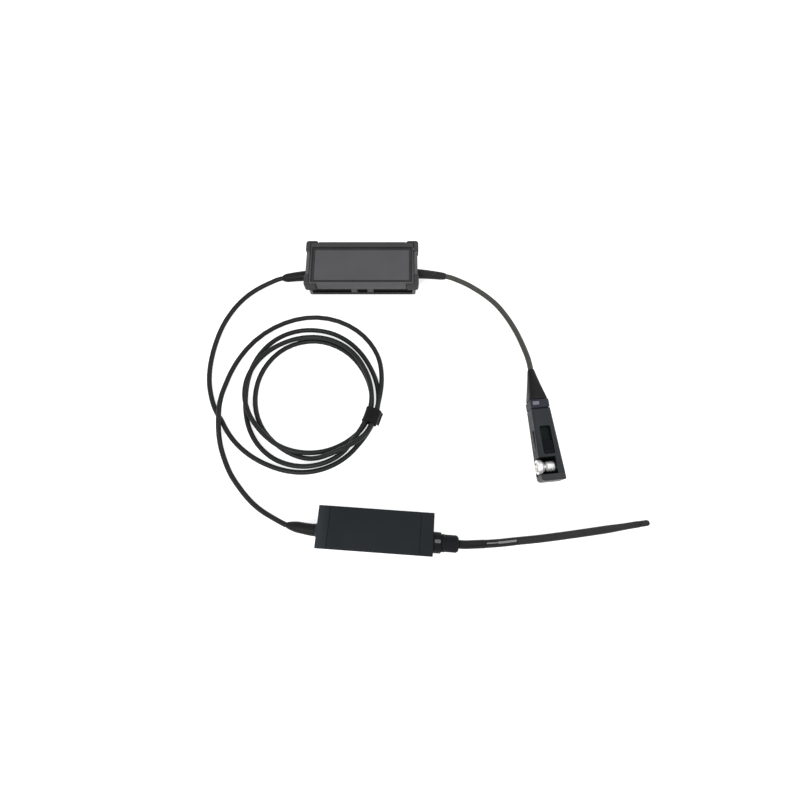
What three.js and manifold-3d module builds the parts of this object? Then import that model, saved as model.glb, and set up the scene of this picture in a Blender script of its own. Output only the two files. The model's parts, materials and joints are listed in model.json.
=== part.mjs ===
// Isolated oscilloscope probe, laid out on a bench: receiver box, scope plug on a short lead,
// long cable with a tied coil, sensor head, and a tip lead that screws onto the head.
// Millimetres, +Z up. The origin is the middle of the receiver's underside; +X runs along the
// receiver towards the scope lead, and -Y points at the sensor head.
import * as THREE from 'three';
import { mergeVertices } from 'three/addons/utils/BufferGeometryUtils.js';
import Module from 'manifold-3d';

const wasm = await Module();
wasm.setup();

// ---- Driving sizes ---------------------------------------------------------------------------

const fit = 0.3; // clearance between seated pieces

// Receiver box
const receiverLength = 118.6; // over the bumpers
const receiverDepth = 54.2; // over the corner pads
const receiverHeight = 25;
const receiverWall = 2.2;
const upperShellHeight = 9.6;
const bumperWall = 3.4; // end bar beside the upper shell
const padProud = 1.2; // corner pads beyond the shell
const padSink = 1.6; // corner pads let into the shell's sides
const padReachX = 13;
const padReachY = 14;
const padTopProud = 0.5;
const baseSetback = 1.5; // lower shell's ends behind the bumpers
const baseSetbackSide = 2.5; // lower shell's sides behind the upper shell's
const baseLipHeight = 5;
const bandInset = 1.2; // long recess above the lower lip
const cheekLength = 3.6; // full-height ends beside the recess
const pocketLength = 105;
const pocketDepth = 42.2;
const pocketSide = -1.7; // the label pocket sits towards the front
const labelMargin = 3.2; // open groove round the label plate
const labelThickness = 0.8;
const labelSink = 1.3; // label face below the rim
const latchWidth = 6.4;
const latchSpacing = 17;
const screwHeadRadius = 2.6;
const screwHeadHeight = 2;
const screwShankRadius = 1.3;
const bossRadius = 3.6;
const boardThickness = 1.6;
const boardEndRoom = 15.3; // from the board to the bumpers' ends
const boardSideRoom = 9.1;
const shieldCanLength = 26;
const shieldCanEndRoom = 12; // from the shield can to the board's end
const reliefBend = -2.8; // the tips lean towards the head
const reliefDroop = -0.6;
const leftRelief = { side: -5.8, length: 28.2, rootRadius: 5.5, tipRadius: 4.3 };
const rightRelief = { side: -3.4, length: 31.6, rootRadius: 5.1, tipRadius: 3.8 };

const straightRoot = 3; // straight run before a relief bends
const neckStep = 1.8; // relief necks inside the walls, below their roots

// Cords
const cableDiameter = 4.8;
const leadDiameter = 5.4;
const tipCableDiameter = 4;
const sleeveSlack = 0.35;
const groundClearance = 0.1;

// Sensor head
const headPlace = [18.5, -268.4];
const headTurn = -3.95; // degrees
const headLength = 102.8;
const headWidth = 37.1;
const headHeight = 22;
const headWall = 2;
const headCorner = 1.5;
const capLeftLength = 10;
const capRightLength = 11.5;
const spigotLength = 4;
const railRadius = 2.9; // screw channels inside the sleeve
const headBoardWidth = 28;
const headAxisSide = -6.5; // jack axis beside the head's middle line
const headReliefSide = -3.1;
const headReliefLength = 25.6;
const headReliefRadius = 5.5;
const headReliefTipRadius = 4.6;
const exitBossRadius = 8.2; // flared boss the head's relief leaves by
const exitBossLength = 2.8;
const ringRadius = 9.2;
const ringLength = 7.2;
const jackRadius = 4;
const jackReach = 14.5; // jack nose beyond the cap
const markLength = 5.4;
const markWidth = 3;
const markSide = 1.2;
const nutRadius = 7.5;
const nutLength = 15;
const nutCollar = 3;
const nutFlutes = 16;
const ferruleRadius = 3.6;

// Tip lead
const tipBootLength = 25.4;
const tipBootRadius = 3.8;
const labelSleeveLength = 28.8;
const labelSleeveRadius = 3.6;
const longSleeveRadius = 3.55;
const longSleeveEndRadius = 2.95;
const tipConnectorLength = 9;
const tipConnectorRadius = 2.75;
const tipPinRadius = 0.35;

// Scope plug
const plugPlace = [170.8, -113.4];
const plugTurn = -84.5; // degrees
const plugLength = 111;
const plugHeight = 18;
const plugWall = 2;
const bootLength = 32.5;
const bootTipRadius = 3.3;
const collarLength = 9;
const collarWidth = 18;
const plugRearWidth = 18;
const plugNoseWidth = 22.8;
const noseThickness = 5.8;
const slotWidth = 10.4;
const slotDepth = 3;
const slotCorner = 1.6;
const slotLip = 0.8; // undercut that holds the slider's flange
const sliderFlange = 0.7;
const slotFromBay = 2.6;
const sliderLength = 12.6;
const sliderTravel = 13;
const bayonetRadius = 7;
const bayonetLength = 6.2;
const bayonetProud = 0.9; // ring's mouth in front of the plug's face
const bayFloor = 1.6;
const bodyNeckRadius = 2.5;
const bodyNeckLength = 1.8;
const bodyBlockRadius = 4.9;
const bodyBlockLength = 8.2;
const contactCount = 4;
const contactPitch = 5;
const contactRadius = 0.75;
const contactProud = 0.5;
const contactBlockDepth = 3.4;
const contactBlockHeight = 7;

// Coil, round its own centre
const coilCentre = [-47.5, -140.2];
const tieAngle = -19; // degrees
const tieLength = 15;
const tieThickness = 1.1;
const tieWidth = 15.2; // outside, across the bundle
const tieHeight = 13.4;
const tieRadius = 63.1;

// ---- Materials -------------------------------------------------------------------------------

const finish = (color, roughness, metalness = 0) =>
  new THREE.MeshStandardMaterial({ color, roughness, metalness });

const materials = {
  charcoal: finish(0x3d3d3f, 0.55),
  label: finish(0x4b494e, 0.5),
  bumper: finish(0x454548, 0.75),
  black: finish(0x1d1f21, 0.6),
  headBlack: finish(0x2a3036, 0.45),
  cable: finish(0x25282a, 0.6),
  lead: finish(0x3f403c, 0.6),
  sleeve: finish(0x85878a, 0.55),
  mark: finish(0xc2c4c6, 0.5),
  plug: finish(0x303336, 0.5),
  collar: finish(0x3c4254, 0.45),
  window: finish(0x8f97a8, 0.3),
  nickel: finish(0xc9cacc, 0.3, 1),
  gold: finish(0xb89a55, 0.35, 1),
  board: finish(0x1f4a33, 0.6),
  steel: finish(0x8d9092, 0.35, 1),
  tie: finish(0x151617, 0.9),
};

// ---- Shape helpers ---------------------------------------------------------------------------

const radians = (degrees) => (degrees * Math.PI) / 180;

// A closed mesh as a solid that can be joined and cut.
function solid(geometry) {
  const bare = geometry.clone();
  bare.deleteAttribute('normal');
  bare.deleteAttribute('uv');
  const merged = mergeVertices(bare, 1e-5);
  return new wasm.Manifold(
    new wasm.Mesh({
      numProp: 3,
      vertProperties: new Float32Array(merged.attributes.position.array),
      triVerts: new Uint32Array(merged.index.array),
    }),
  );
}

function surface(body) {
  const mesh = body.getMesh();
  const geometry = new THREE.BufferGeometry();
  geometry.setAttribute('position', new THREE.BufferAttribute(new Float32Array(mesh.vertProperties), 3));
  geometry.setIndex(new THREE.BufferAttribute(new Uint32Array(mesh.triVerts), 1));
  geometry.computeVertexNormals();
  return geometry;
}

const cut = (base, ...tools) =>
  surface(tools.reduce((rest, tool) => rest.subtract(solid(tool)), solid(base)));
const join = (base, ...others) =>
  surface(others.reduce((sum, other) => sum.add(solid(other)), solid(base)));
const common = (a, b) => surface(solid(a).intersect(solid(b)));

function rectangle(width, depth, corner) {
  const shape = new THREE.Shape();
  const x = width / 2;
  const y = depth / 2;
  if (corner === 0) {
    shape.moveTo(-x, -y).lineTo(x, -y).lineTo(x, y).lineTo(-x, y);
    return shape;
  }
  shape.moveTo(-x + corner, -y);
  shape.lineTo(x - corner, -y).absarc(x - corner, -y + corner, corner, -Math.PI / 2, 0);
  shape.lineTo(x, y - corner).absarc(x - corner, y - corner, corner, 0, Math.PI / 2);
  shape.lineTo(-x + corner, y).absarc(-x + corner, y - corner, corner, Math.PI / 2, Math.PI);
  shape.lineTo(-x, -y + corner).absarc(-x + corner, -y + corner, corner, Math.PI, 1.5 * Math.PI);
  return shape;
}

// A flat shape raised from z = 0, with its top and bottom edges eased.
function raised(shape, height, ease = 0, steps = 3) {
  return new THREE.ExtrudeGeometry(shape, {
    depth: height - 2 * ease,
    bevelEnabled: ease > 0,
    bevelThickness: ease,
    bevelSize: ease,
    bevelOffset: -ease,
    bevelSegments: 1,
    curveSegments: steps,
  }).translate(0, 0, ease);
}

// A box given by its lowest and highest corner.
function block([x0, y0, z0], [x1, y1, z1], corner = 0, ease = 0) {
  const plan = rectangle(x1 - x0, y1 - y0, corner);
  return raised(plan, z1 - z0, ease).translate((x0 + x1) / 2, (y0 + y1) / 2, z0);
}

// A turned solid: the profile holds [radius, height] pairs from the axis back to the axis.
const turned = (profile, sides = 20) =>
  new THREE.LatheGeometry(profile.map(([r, h]) => new THREE.Vector2(r, h)), sides);

const alongX = (geometry) => geometry.rotateZ(-Math.PI / 2);
const alongZ = (geometry) => geometry.rotateX(Math.PI / 2);

const rod = (radius, from, to, sides = 20) =>
  turned([[0, from], [radius, from], [radius, to], [0, to]], sides);

// A round solid swept along a curve, closed at both ends. radiusAt(s) takes 0 to 1.
function swept(curve, radiusAt, steps, sides) {
  const frames = curve.computeFrenetFrames(steps, false);
  const points = [];
  const faces = [];
  for (let i = 0; i <= steps; i += 1) {
    const centre = curve.getPointAt(i / steps);
    const radius = radiusAt(i / steps);
    for (let j = 0; j < sides; j += 1) {
      const angle = (2 * Math.PI * j) / sides;
      const point = centre.clone();
      point.addScaledVector(frames.normals[i], radius * Math.cos(angle));
      point.addScaledVector(frames.binormals[i], radius * Math.sin(angle));
      points.push(point);
    }
  }
  for (let i = 0; i < steps; i += 1) {
    for (let j = 0; j < sides; j += 1) {
      const a = i * sides + j;
      const b = i * sides + ((j + 1) % sides);
      faces.push(a, b, b + sides, a, b + sides, a + sides);
    }
  }
  const last = steps * sides;
  for (let j = 1; j < sides - 1; j += 1) {
    faces.push(0, j + 1, j, last, last + j, last + j + 1);
  }
  const geometry = new THREE.BufferGeometry().setFromPoints(points);
  geometry.setIndex(faces);
  geometry.computeVertexNormals();
  return geometry;
}

const curveThrough = (points) =>
  new THREE.CatmullRomCurve3(points.map(([x, y, z]) => new THREE.Vector3(x, y, z)), false, 'centripetal');

// The stretch of a curve between two distances from its start.
function stretch(curve, from, to) {
  const total = curve.getLength();
  const count = Math.max(4, Math.round((to - from) / 4));
  const points = [];
  for (let i = 0; i <= count; i += 1) {
    points.push(curve.getPointAt((from + ((to - from) * i) / count) / total));
  }
  return new THREE.CatmullRomCurve3(points, false, 'centripetal');
}

// A cord as a tube with flat sides, a step every two or three diameters.
function cord(curve, diameter, sides = 10, steps = Math.round(curve.getLength() / (2.4 * diameter))) {
  const section = new THREE.Shape();
  for (let i = 0; i < sides; i += 1) {
    const angle = (2 * Math.PI * i) / sides;
    const point = [(diameter / 2) * Math.cos(angle), (diameter / 2) * Math.sin(angle)];
    if (i === 0) section.moveTo(...point);
    else section.lineTo(...point);
  }
  return new THREE.ExtrudeGeometry(section, { steps, bevelEnabled: false, extrudePath: curve });
}

// A closed body lofted through rounded rectangles: each section is [x, width, height].
function lofted(sections, midHeight, squareness = 4, sides = 24) {
  const points = [];
  const faces = [];
  sections.forEach(([x, width, height]) => {
    for (let j = 0; j < sides; j += 1) {
      const angle = (2 * Math.PI * (j + 0.5)) / sides;
      const c = Math.cos(angle);
      const s = Math.sin(angle);
      const y = (width / 2) * Math.sign(c) * Math.abs(c) ** (2 / squareness);
      const z = (height / 2) * Math.sign(s) * Math.abs(s) ** (2 / squareness);
      points.push(new THREE.Vector3(x, y, midHeight + z));
    }
  });
  for (let i = 0; i < sections.length - 1; i += 1) {
    for (let j = 0; j < sides; j += 1) {
      const a = i * sides + j;
      const b = i * sides + ((j + 1) % sides);
      faces.push(a, b, b + sides, a, b + sides, a + sides);
    }
  }
  const last = (sections.length - 1) * sides;
  for (let j = 1; j < sides - 1; j += 1) {
    faces.push(0, j + 1, j, last, last + j, last + j + 1);
  }
  const geometry = new THREE.BufferGeometry().setFromPoints(points);
  geometry.setIndex(faces);
  geometry.computeVertexNormals();
  return geometry;
}

// A smooth, tapered strain relief along a curve, rounded at its tip. Its neck runs back through the
// wall it starts on to a flange, whose near face is the given distance behind the curve's start.
function strainRelief(curve, rootRadius, tipRadius, flangeFace) {
  const neckRadius = rootRadius - neckStep;
  const skin = (s) => {
    const rounding = Math.max(0, (s - 0.86) / 0.14);
    return rootRadius + (tipRadius - rootRadius) * s - 1.2 * rounding ** 2;
  };
  const start = curve.getPointAt(0);
  const inward = curve.getTangentAt(0).negate();
  const behind = (distance) => start.clone().addScaledVector(inward, distance);
  const flange = new THREE.CatmullRomCurve3([behind(flangeFace + 1.6), behind(flangeFace)]);
  const neck = new THREE.CatmullRomCurve3([behind(flangeFace + 0.4), behind(-0.6)]);
  return join(
    swept(curve, skin, 14, 14),
    swept(flange, () => neckRadius + 1.8, 1, 14),
    swept(neck, () => neckRadius, 1, 14),
  );
}

// A countersunk-free cap screw with a hex socket, head down, shank up from its seat.
function capScrew(shankLength) {
  const body = alongZ(
    turned(
      [
        [0, -screwHeadHeight],
        [screwHeadRadius, -screwHeadHeight],
        [screwHeadRadius, 0],
        [screwShankRadius, 0],
        [screwShankRadius, shankLength],
        [0, shankLength],
      ],
      10,
    ),
  );
  const socket = alongZ(rod(screwShankRadius, -screwHeadHeight - 1, -screwHeadHeight / 2, 6));
  return cut(body, socket);
}

const root = new THREE.Group();

function add(group, name, geometry, material) {
  const mesh = new THREE.Mesh(geometry, material);
  mesh.name = name;
  group.add(mesh);
  return mesh;
}

// ---- Receiver box ----------------------------------------------------------------------------

const upperLength = receiverLength - 2 * (padProud + bumperWall + fit);
const upperDepth = receiverDepth - 2 * padProud;
const upperBottom = receiverHeight - padTopProud - upperShellHeight;
const upperTop = receiverHeight - padTopProud;
const labelPocket = labelThickness + labelSink;
const roofThickness = labelPocket + 1.5;
const baseLength = receiverLength - 2 * (padProud + baseSetback);
const baseDepth = upperDepth - 2 * baseSetbackSide;
const baseTop = upperBottom - fit;
const reliefHeight = baseTop - leftRelief.rootRadius;
const standoffHeight = 5.4;
const boardBottom = standoffHeight + fit;
const boardTop = boardBottom + boardThickness;
const rimX = upperLength / 2 - receiverWall - fit;
const rimY = upperDepth / 2 - padSink - receiverWall - fit;
const receiverBoardLength = receiverLength - 2 * boardEndRoom;
const receiverBoardDepth = receiverDepth - 2 * boardSideRoom;
const bossX = receiverBoardLength / 2 - 6;
const bossY = receiverBoardDepth / 2 - 6;
const bossPlaces = [-1, 1].flatMap((sx) => [-1, 1].map((sy) => [sx * bossX, sy * bossY]));
const screwSeat = screwHeadHeight + 0.6;

function receiverTopShell() {
  const outer = block(
    [-upperLength / 2, -upperDepth / 2, upperBottom],
    [upperLength / 2, upperDepth / 2, upperTop],
    1.2,
    0.8,
  );
  const wallX = upperLength / 2 - receiverWall;
  const wallY = upperDepth / 2 - padSink - receiverWall;
  const cavity = block([-wallX, -wallY, upperBottom - 1], [wallX, wallY, upperTop - roofThickness]);
  const pocket = block(
    [-pocketLength / 2, pocketSide - pocketDepth / 2, upperTop - labelPocket],
    [pocketLength / 2, pocketSide + pocketDepth / 2, upperTop + 1],
    1,
  );
  const notchX = receiverLength / 2 - padReachX - fit;
  const notches = [-1, 1].flatMap((sx) =>
    [-1, 1].map((sy) =>
      block(
        [Math.min(sx * notchX, sx * receiverLength), Math.min(sy * (upperDepth / 2 - padSink), sy * 60), 0],
        [Math.max(sx * notchX, sx * receiverLength), Math.max(sy * (upperDepth / 2 - padSink), sy * 60), 40],
      ),
    ),
  );
  const latches = [-1, 1].flatMap((sx) =>
    [-1, 1].map((sy) => {
      const x = (sx * latchSpacing) / 2;
      const outerY = upperDepth / 2 - baseSetbackSide;
      const innerY = outerY - bandInset + fit;
      return block(
        [x - latchWidth / 2, Math.min(sy * innerY, sy * outerY), baseLipHeight + fit],
        [x + latchWidth / 2, Math.max(sy * innerY, sy * outerY), upperBottom + 0.5],
      );
    }),
  );
  const bosses = bossPlaces.map(([x, y]) =>
    alongZ(rod(bossRadius, boardTop + fit, upperTop - roofThickness + 0.5, 12)).translate(x, y, 0),
  );
  const bores = bossPlaces.map(([x, y]) =>
    alongZ(rod(screwShankRadius + fit, boardTop - 1, upperTop - roofThickness - 1, 12)).translate(x, y, 0),
  );
  const shell = cut(outer, cavity, pocket, ...notches);
  return cut(join(shell, ...latches, ...bosses), ...bores);
}

// The lower shell: a lip all round, and a full-height cheek at each end of the long recesses.
function receiverBaseShell() {
  const x = baseLength / 2;
  const y = baseDepth / 2;
  const outer = block([-x, -y, 0], [x, y, baseTop], 1.6, 0.8);
  const recesses = [-1, 1].map((side) =>
    block(
      [-x + cheekLength, Math.min(side * (y - bandInset), side * (y + 1)), baseLipHeight],
      [x - cheekLength, Math.max(side * (y - bandInset), side * (y + 1)), baseTop + 1],
    ),
  );
  const rim = block([-rimX, -rimY, 1], [rimX, rimY, upperBottom + 1.6], 1.5);
  const cavity = block(
    [-rimX + receiverWall, -rimY + receiverWall, receiverWall],
    [rimX - receiverWall, rimY - receiverWall, upperBottom + 5],
  );
  const standoffs = bossPlaces.map(([x, y]) =>
    alongZ(rod(bossRadius + 0.4, 1, standoffHeight, 12)).translate(x, y, 0),
  );
  const bores = bossPlaces.flatMap(([x, y]) => [
    alongZ(rod(screwShankRadius + fit, -1, standoffHeight + 1, 12)).translate(x, y, 0),
    alongZ(rod(screwHeadRadius + fit, -1, screwSeat, 12)).translate(x, y, 0),
  ]);
  const exits = [-1, 1].map((side) => {
    const { side: y0, rootRadius } = reliefOf(side);
    const [from, to] = side < 0 ? [-receiverLength, 0] : [0, receiverLength];
    return alongX(rod(rootRadius - neckStep + fit, from, to, 16)).translate(0, y0, reliefHeight);
  });
  const shell = cut(join(cut(outer, ...recesses), rim), cavity);
  return cut(join(shell, ...standoffs), ...bores, ...exits);
}

function bumper(side) {
  const inner = upperLength / 2 + fit;
  const outer = receiverLength / 2 - padProud;
  const padInner = receiverDepth / 2 - padReachY;
  const bar = block(
    [inner, -receiverDepth / 2 + padProud, upperBottom],
    [outer, receiverDepth / 2 - padProud, upperTop],
    0.6,
    0.5,
  );
  const pads = [-1, 1].map((sy) =>
    block(
      [receiverLength / 2 - padReachX, Math.min((sy * receiverDepth) / 2, sy * padInner), upperBottom],
      [receiverLength / 2, Math.max((sy * receiverDepth) / 2, sy * padInner), receiverHeight],
      3,
      0.9,
    ),
  );
  const shellRoom = block(
    [-receiverLength, -upperDepth / 2 + padSink - fit, -1],
    [inner, upperDepth / 2 - padSink + fit, receiverHeight + 1],
  );
  return cut(join(bar, ...pads), shellRoom).rotateZ(side < 0 ? Math.PI : 0);
}

function receiverBoard() {
  const plate = block(
    [-receiverBoardLength / 2, -receiverBoardDepth / 2, boardBottom],
    [receiverBoardLength / 2, receiverBoardDepth / 2, boardTop],
  );
  const holes = bossPlaces.map(([x, y]) =>
    alongZ(rod(screwShankRadius + fit, boardBottom - 1, boardTop + 1, 12)).translate(x, y, 0),
  );
  return cut(plate, ...holes);
}

function reliefOf(side) {
  return side < 0 ? leftRelief : rightRelief;
}

function receiverReliefCurve(side) {
  const { side: y0, length } = reliefOf(side);
  const start = side * (baseLength / 2 + fit);
  return curveThrough([
    [start, y0, reliefHeight],
    [start + side * straightRoot, y0, reliefHeight],
    [start + side * length * 0.5, y0 + reliefBend * 0.36, reliefHeight + reliefDroop * 0.3],
    [start + side * length, y0 + reliefBend, reliefHeight + reliefDroop],
  ]);
}

function receiverRelief(side) {
  const { rootRadius, tipRadius } = reliefOf(side);
  const flangeFace = baseLength / 2 - rimX + receiverWall + 2 * fit;
  return strainRelief(receiverReliefCurve(side), rootRadius, tipRadius, flangeFace);
}

function buildReceiver() {
  const group = new THREE.Group();
  add(group, 'receiver_top_shell', receiverTopShell(), materials.charcoal);
  add(group, 'receiver_base_shell', receiverBaseShell(), materials.black);
  const labelX = pocketLength / 2 - labelMargin;
  const labelY = pocketDepth / 2 - labelMargin;
  const label = block(
    [-labelX, pocketSide - labelY, upperTop - labelPocket],
    [labelX, pocketSide + labelY, upperTop - labelSink],
    0.8,
  );
  add(group, 'receiver_label_plate', label, materials.label);
  add(group, 'receiver_bumper_left', bumper(-1), materials.bumper);
  add(group, 'receiver_bumper_right', bumper(1), materials.bumper);
  add(group, 'receiver_board', receiverBoard(), materials.board);
  const opticLow = [-receiverBoardLength / 2 + 14, leftRelief.side - 6, boardTop + fit];
  const optic = block(opticLow, [opticLow[0] + 22, opticLow[1] + 12, opticLow[2] + 7], 1);
  add(group, 'receiver_optical_module', optic, materials.steel);
  const canEnd = receiverBoardLength / 2 - shieldCanEndRoom;
  const canLow = [canEnd - shieldCanLength, -10, boardTop + fit];
  add(group, 'receiver_shield_can', block(canLow, [canEnd, 12, canLow[2] + 5], 1), materials.steel);
  bossPlaces.forEach(([x, y], i) => {
    const screw = capScrew(upperTop - roofThickness - 1 - screwSeat - 2 * fit);
    screw.translate(x, y, screwSeat - fit);
    add(group, `receiver_screw_${i + 1}`, screw, materials.steel);
  });
  add(group, 'receiver_relief_left', receiverRelief(-1), materials.black);
  add(group, 'receiver_relief_right', receiverRelief(1), materials.black);
  return group;
}

// ---- Sensor head -----------------------------------------------------------------------------

const headMid = headHeight / 2;
const jackHeight = headMid;
const sleeveStart = -headLength / 2 + capLeftLength + fit;
const sleeveEnd = headLength / 2 - capRightLength - fit;
const railSide = headWidth / 2 - headWall - railRadius + 0.6;
const railHeight = headHeight - headWall - railRadius + 0.4;
const railPlaces = [-1, 1].map((side) => side * railSide);
const headBoardHeight = 5.5;

function headBlock(x0, x1, shrink = 0) {
  const plan = rectangle(headWidth - 2 * shrink, headHeight - 2 * shrink, headCorner);
  const geometry = raised(plan, x1 - x0, 0);
  geometry.rotateX(Math.PI / 2);
  geometry.rotateZ(Math.PI / 2);
  return geometry.translate(x0, 0, headMid);
}

function headSleeve() {
  const tube = cut(headBlock(sleeveStart, sleeveEnd), headBlock(sleeveStart - 1, sleeveEnd + 1, headWall));
  const rails = railPlaces.map((y) =>
    alongX(rod(railRadius, sleeveStart + spigotLength + fit, sleeveEnd - spigotLength - fit, 12)).translate(
      0,
      y,
      railHeight,
    ),
  );
  const ledges = [-1, 1].map((side) =>
    block(
      [
        sleeveStart + spigotLength + fit,
        side < 0 ? -headWidth / 2 + 1 : headBoardWidth / 2 - 1,
        headBoardHeight - 1.2 - fit,
      ],
      [
        sleeveEnd - spigotLength - fit,
        side < 0 ? -headBoardWidth / 2 + 1 : headWidth / 2 - 1,
        headBoardHeight - fit,
      ],
    ),
  );
  const bores = railPlaces.map((y) =>
    alongX(rod(screwShankRadius + fit, sleeveStart, sleeveEnd, 12)).translate(0, y, railHeight),
  );
  return cut(join(tube, ...rails, ...ledges), ...bores);
}

function headCap(side) {
  const outerX = (side * headLength) / 2;
  const innerX = side < 0 ? sleeveStart - fit : sleeveEnd + fit;
  const spigotX = innerX - side * (spigotLength + fit);
  const face = headBlock(Math.min(outerX, innerX), Math.max(outerX, innerX));
  const spigot = headBlock(
    Math.min(spigotX, innerX + side),
    Math.max(spigotX, innerX + side),
    headWall + fit,
  );
  const hollow = headBlock(
    Math.min(spigotX - side, outerX - side * 3.2),
    Math.max(spigotX - side, outerX - side * 3.2),
    headWall + 2.2,
  );
  const along = (radius, from, to, y, z, sides = 12) =>
    alongX(rod(radius, Math.min(from, to), Math.max(from, to), sides)).translate(0, y, z);
  const pillars = railPlaces.map((y) => along(railRadius + 0.4, spigotX, outerX - side, y, railHeight));
  const limit = headBlock(
    Math.min(spigotX, outerX),
    Math.max(spigotX, outerX),
    headWall + fit,
  );
  const inside = common(join(...pillars), limit);
  const bores = railPlaces.flatMap((y) => {
    const seat = outerX - side * screwSeat;
    return [
      along(screwShankRadius + fit, -headLength, headLength, y, railHeight),
      along(screwHeadRadius + fit, seat, seat + side * 9, y, railHeight),
    ];
  });
  const portSide = side < 0 ? headReliefSide : headAxisSide;
  const portRadius = side < 0 ? headReliefRadius - neckStep + fit : jackRadius + fit;
  const port = along(portRadius, innerX, outerX + side * (exitBossLength + 1), portSide, jackHeight, 20);
  const walls = side < 0 ? join(face, spigot, exitBoss(outerX)) : join(face, spigot);
  return cut(join(cut(walls, hollow), inside), port, ...bores);
}

// The flared boss on the left cap, from its wall outwards.
function exitBoss(wallX) {
  const profile = [
    [0, -1],
    [exitBossRadius, -1],
    [exitBossRadius, 0],
    [exitBossRadius - 1.5, exitBossLength * 0.3],
    [headReliefRadius + 0.5, exitBossLength * 0.65],
    [headReliefRadius + 0.2, exitBossLength],
    [0, exitBossLength],
  ];
  const boss = turned(profile, 24).rotateZ(Math.PI / 2);
  return boss.translate(wallX, headReliefSide, jackHeight);
}

function headReliefCurve() {
  const start = -headLength / 2 - exitBossLength - fit;
  return curveThrough([
    [start, headReliefSide, headMid],
    [start - straightRoot, headReliefSide, headMid],
    [start - headReliefLength * 0.5, headReliefSide + 1, headMid - 0.4],
    [start - headReliefLength, headReliefSide + 2.6, headMid - 1.6],
  ]);
}

const jackFace = headLength / 2 - 3.2;
const ringStart = headLength / 2 + fit;
const ringEnd = ringStart + ringLength;
const nutStart = ringEnd + fit;
const nutEnd = nutStart + nutLength;
const noseEnd = headLength / 2 + jackReach;
const nutLipLength = 2.6;
const nutBore = jackRadius + 1.1;
const ferruleEnd = nutEnd - 0.8;

function headJack() {
  const profile = [
    [0, jackFace - 7],
    [3.4, jackFace - 7],
    [3.4, jackFace - 2 - fit],
    [6, jackFace - 2 - fit],
    [6, jackFace - fit],
    [jackRadius, jackFace - fit],
    [jackRadius, noseEnd - 0.6],
    [jackRadius - 0.6, noseEnd],
    [2.2, noseEnd],
    [2.2, noseEnd - 5],
    [0, noseEnd - 5],
  ];
  return alongX(turned(profile)).translate(0, headAxisSide, jackHeight);
}

function indexRing() {
  const profile = [
    [jackRadius + fit, ringStart],
    [ringRadius, ringStart],
    [ringRadius, ringEnd - 0.8],
    [ringRadius - 0.8, ringEnd],
    [jackRadius + fit, ringEnd],
    [jackRadius + fit, ringStart],
  ];
  const ring = alongX(turned(profile, 28));
  const markRoom = block(
    [ringStart + 0.6, markSide - markWidth / 2 - fit, ringRadius - 1],
    [ringStart + 0.6 + markLength + 2 * fit, markSide + markWidth / 2 + fit, ringRadius + 2],
    1.2,
  );
  return cut(ring, markRoom).translate(0, headAxisSide, jackHeight);
}

function indexMark() {
  const key = block(
    [ringStart + 0.6 + fit, markSide - markWidth / 2, ringRadius - 1 + fit],
    [ringStart + 0.6 + fit + markLength, markSide + markWidth / 2, ringRadius + 2],
    1,
  );
  const round = alongX(rod(ringRadius + 0.15, ringStart, ringEnd, 28));
  return common(key, round).translate(0, headAxisSide, jackHeight);
}

// The nut's gripping band: a round outline with shallow flutes.
function fluted(radius, depth, count) {
  const shape = new THREE.Shape();
  const perFlute = 3;
  for (let i = 0; i < count * perFlute; i += 1) {
    const angle = (2 * Math.PI * i) / (count * perFlute);
    const r = i % perFlute === 0 ? radius - depth : radius;
    const point = [r * Math.cos(angle), r * Math.sin(angle)];
    if (i === 0) shape.moveTo(...point);
    else shape.lineTo(...point);
  }
  return shape;
}

function couplingNut() {
  const gripLength = nutLength - nutCollar;
  const grip = raised(fluted(nutRadius, 0.45, nutFlutes), gripLength, 0.7);
  grip.rotateY(Math.PI / 2).translate(nutStart + nutCollar, 0, 0);
  const collar = alongX(rod(nutRadius + 0.35, nutStart, nutStart + nutCollar, 24));
  const bore = alongX(rod(nutBore, nutStart - 1, nutEnd - nutLipLength));
  const mouth = alongX(rod(ferruleRadius + fit, nutStart - 1, nutEnd + 1));
  return cut(join(grip, collar), bore, mouth).translate(0, headAxisSide, jackHeight);
}

function tipFerrule() {
  const back = nutEnd - nutLipLength - fit;
  const profile = [
    [0, noseEnd + fit],
    [nutBore - fit, noseEnd + fit],
    [nutBore - fit, back],
    [ferruleRadius, back],
    [ferruleRadius, ferruleEnd],
    [0, ferruleEnd],
  ];
  return alongX(turned(profile)).translate(0, headAxisSide, jackHeight);
}

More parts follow.
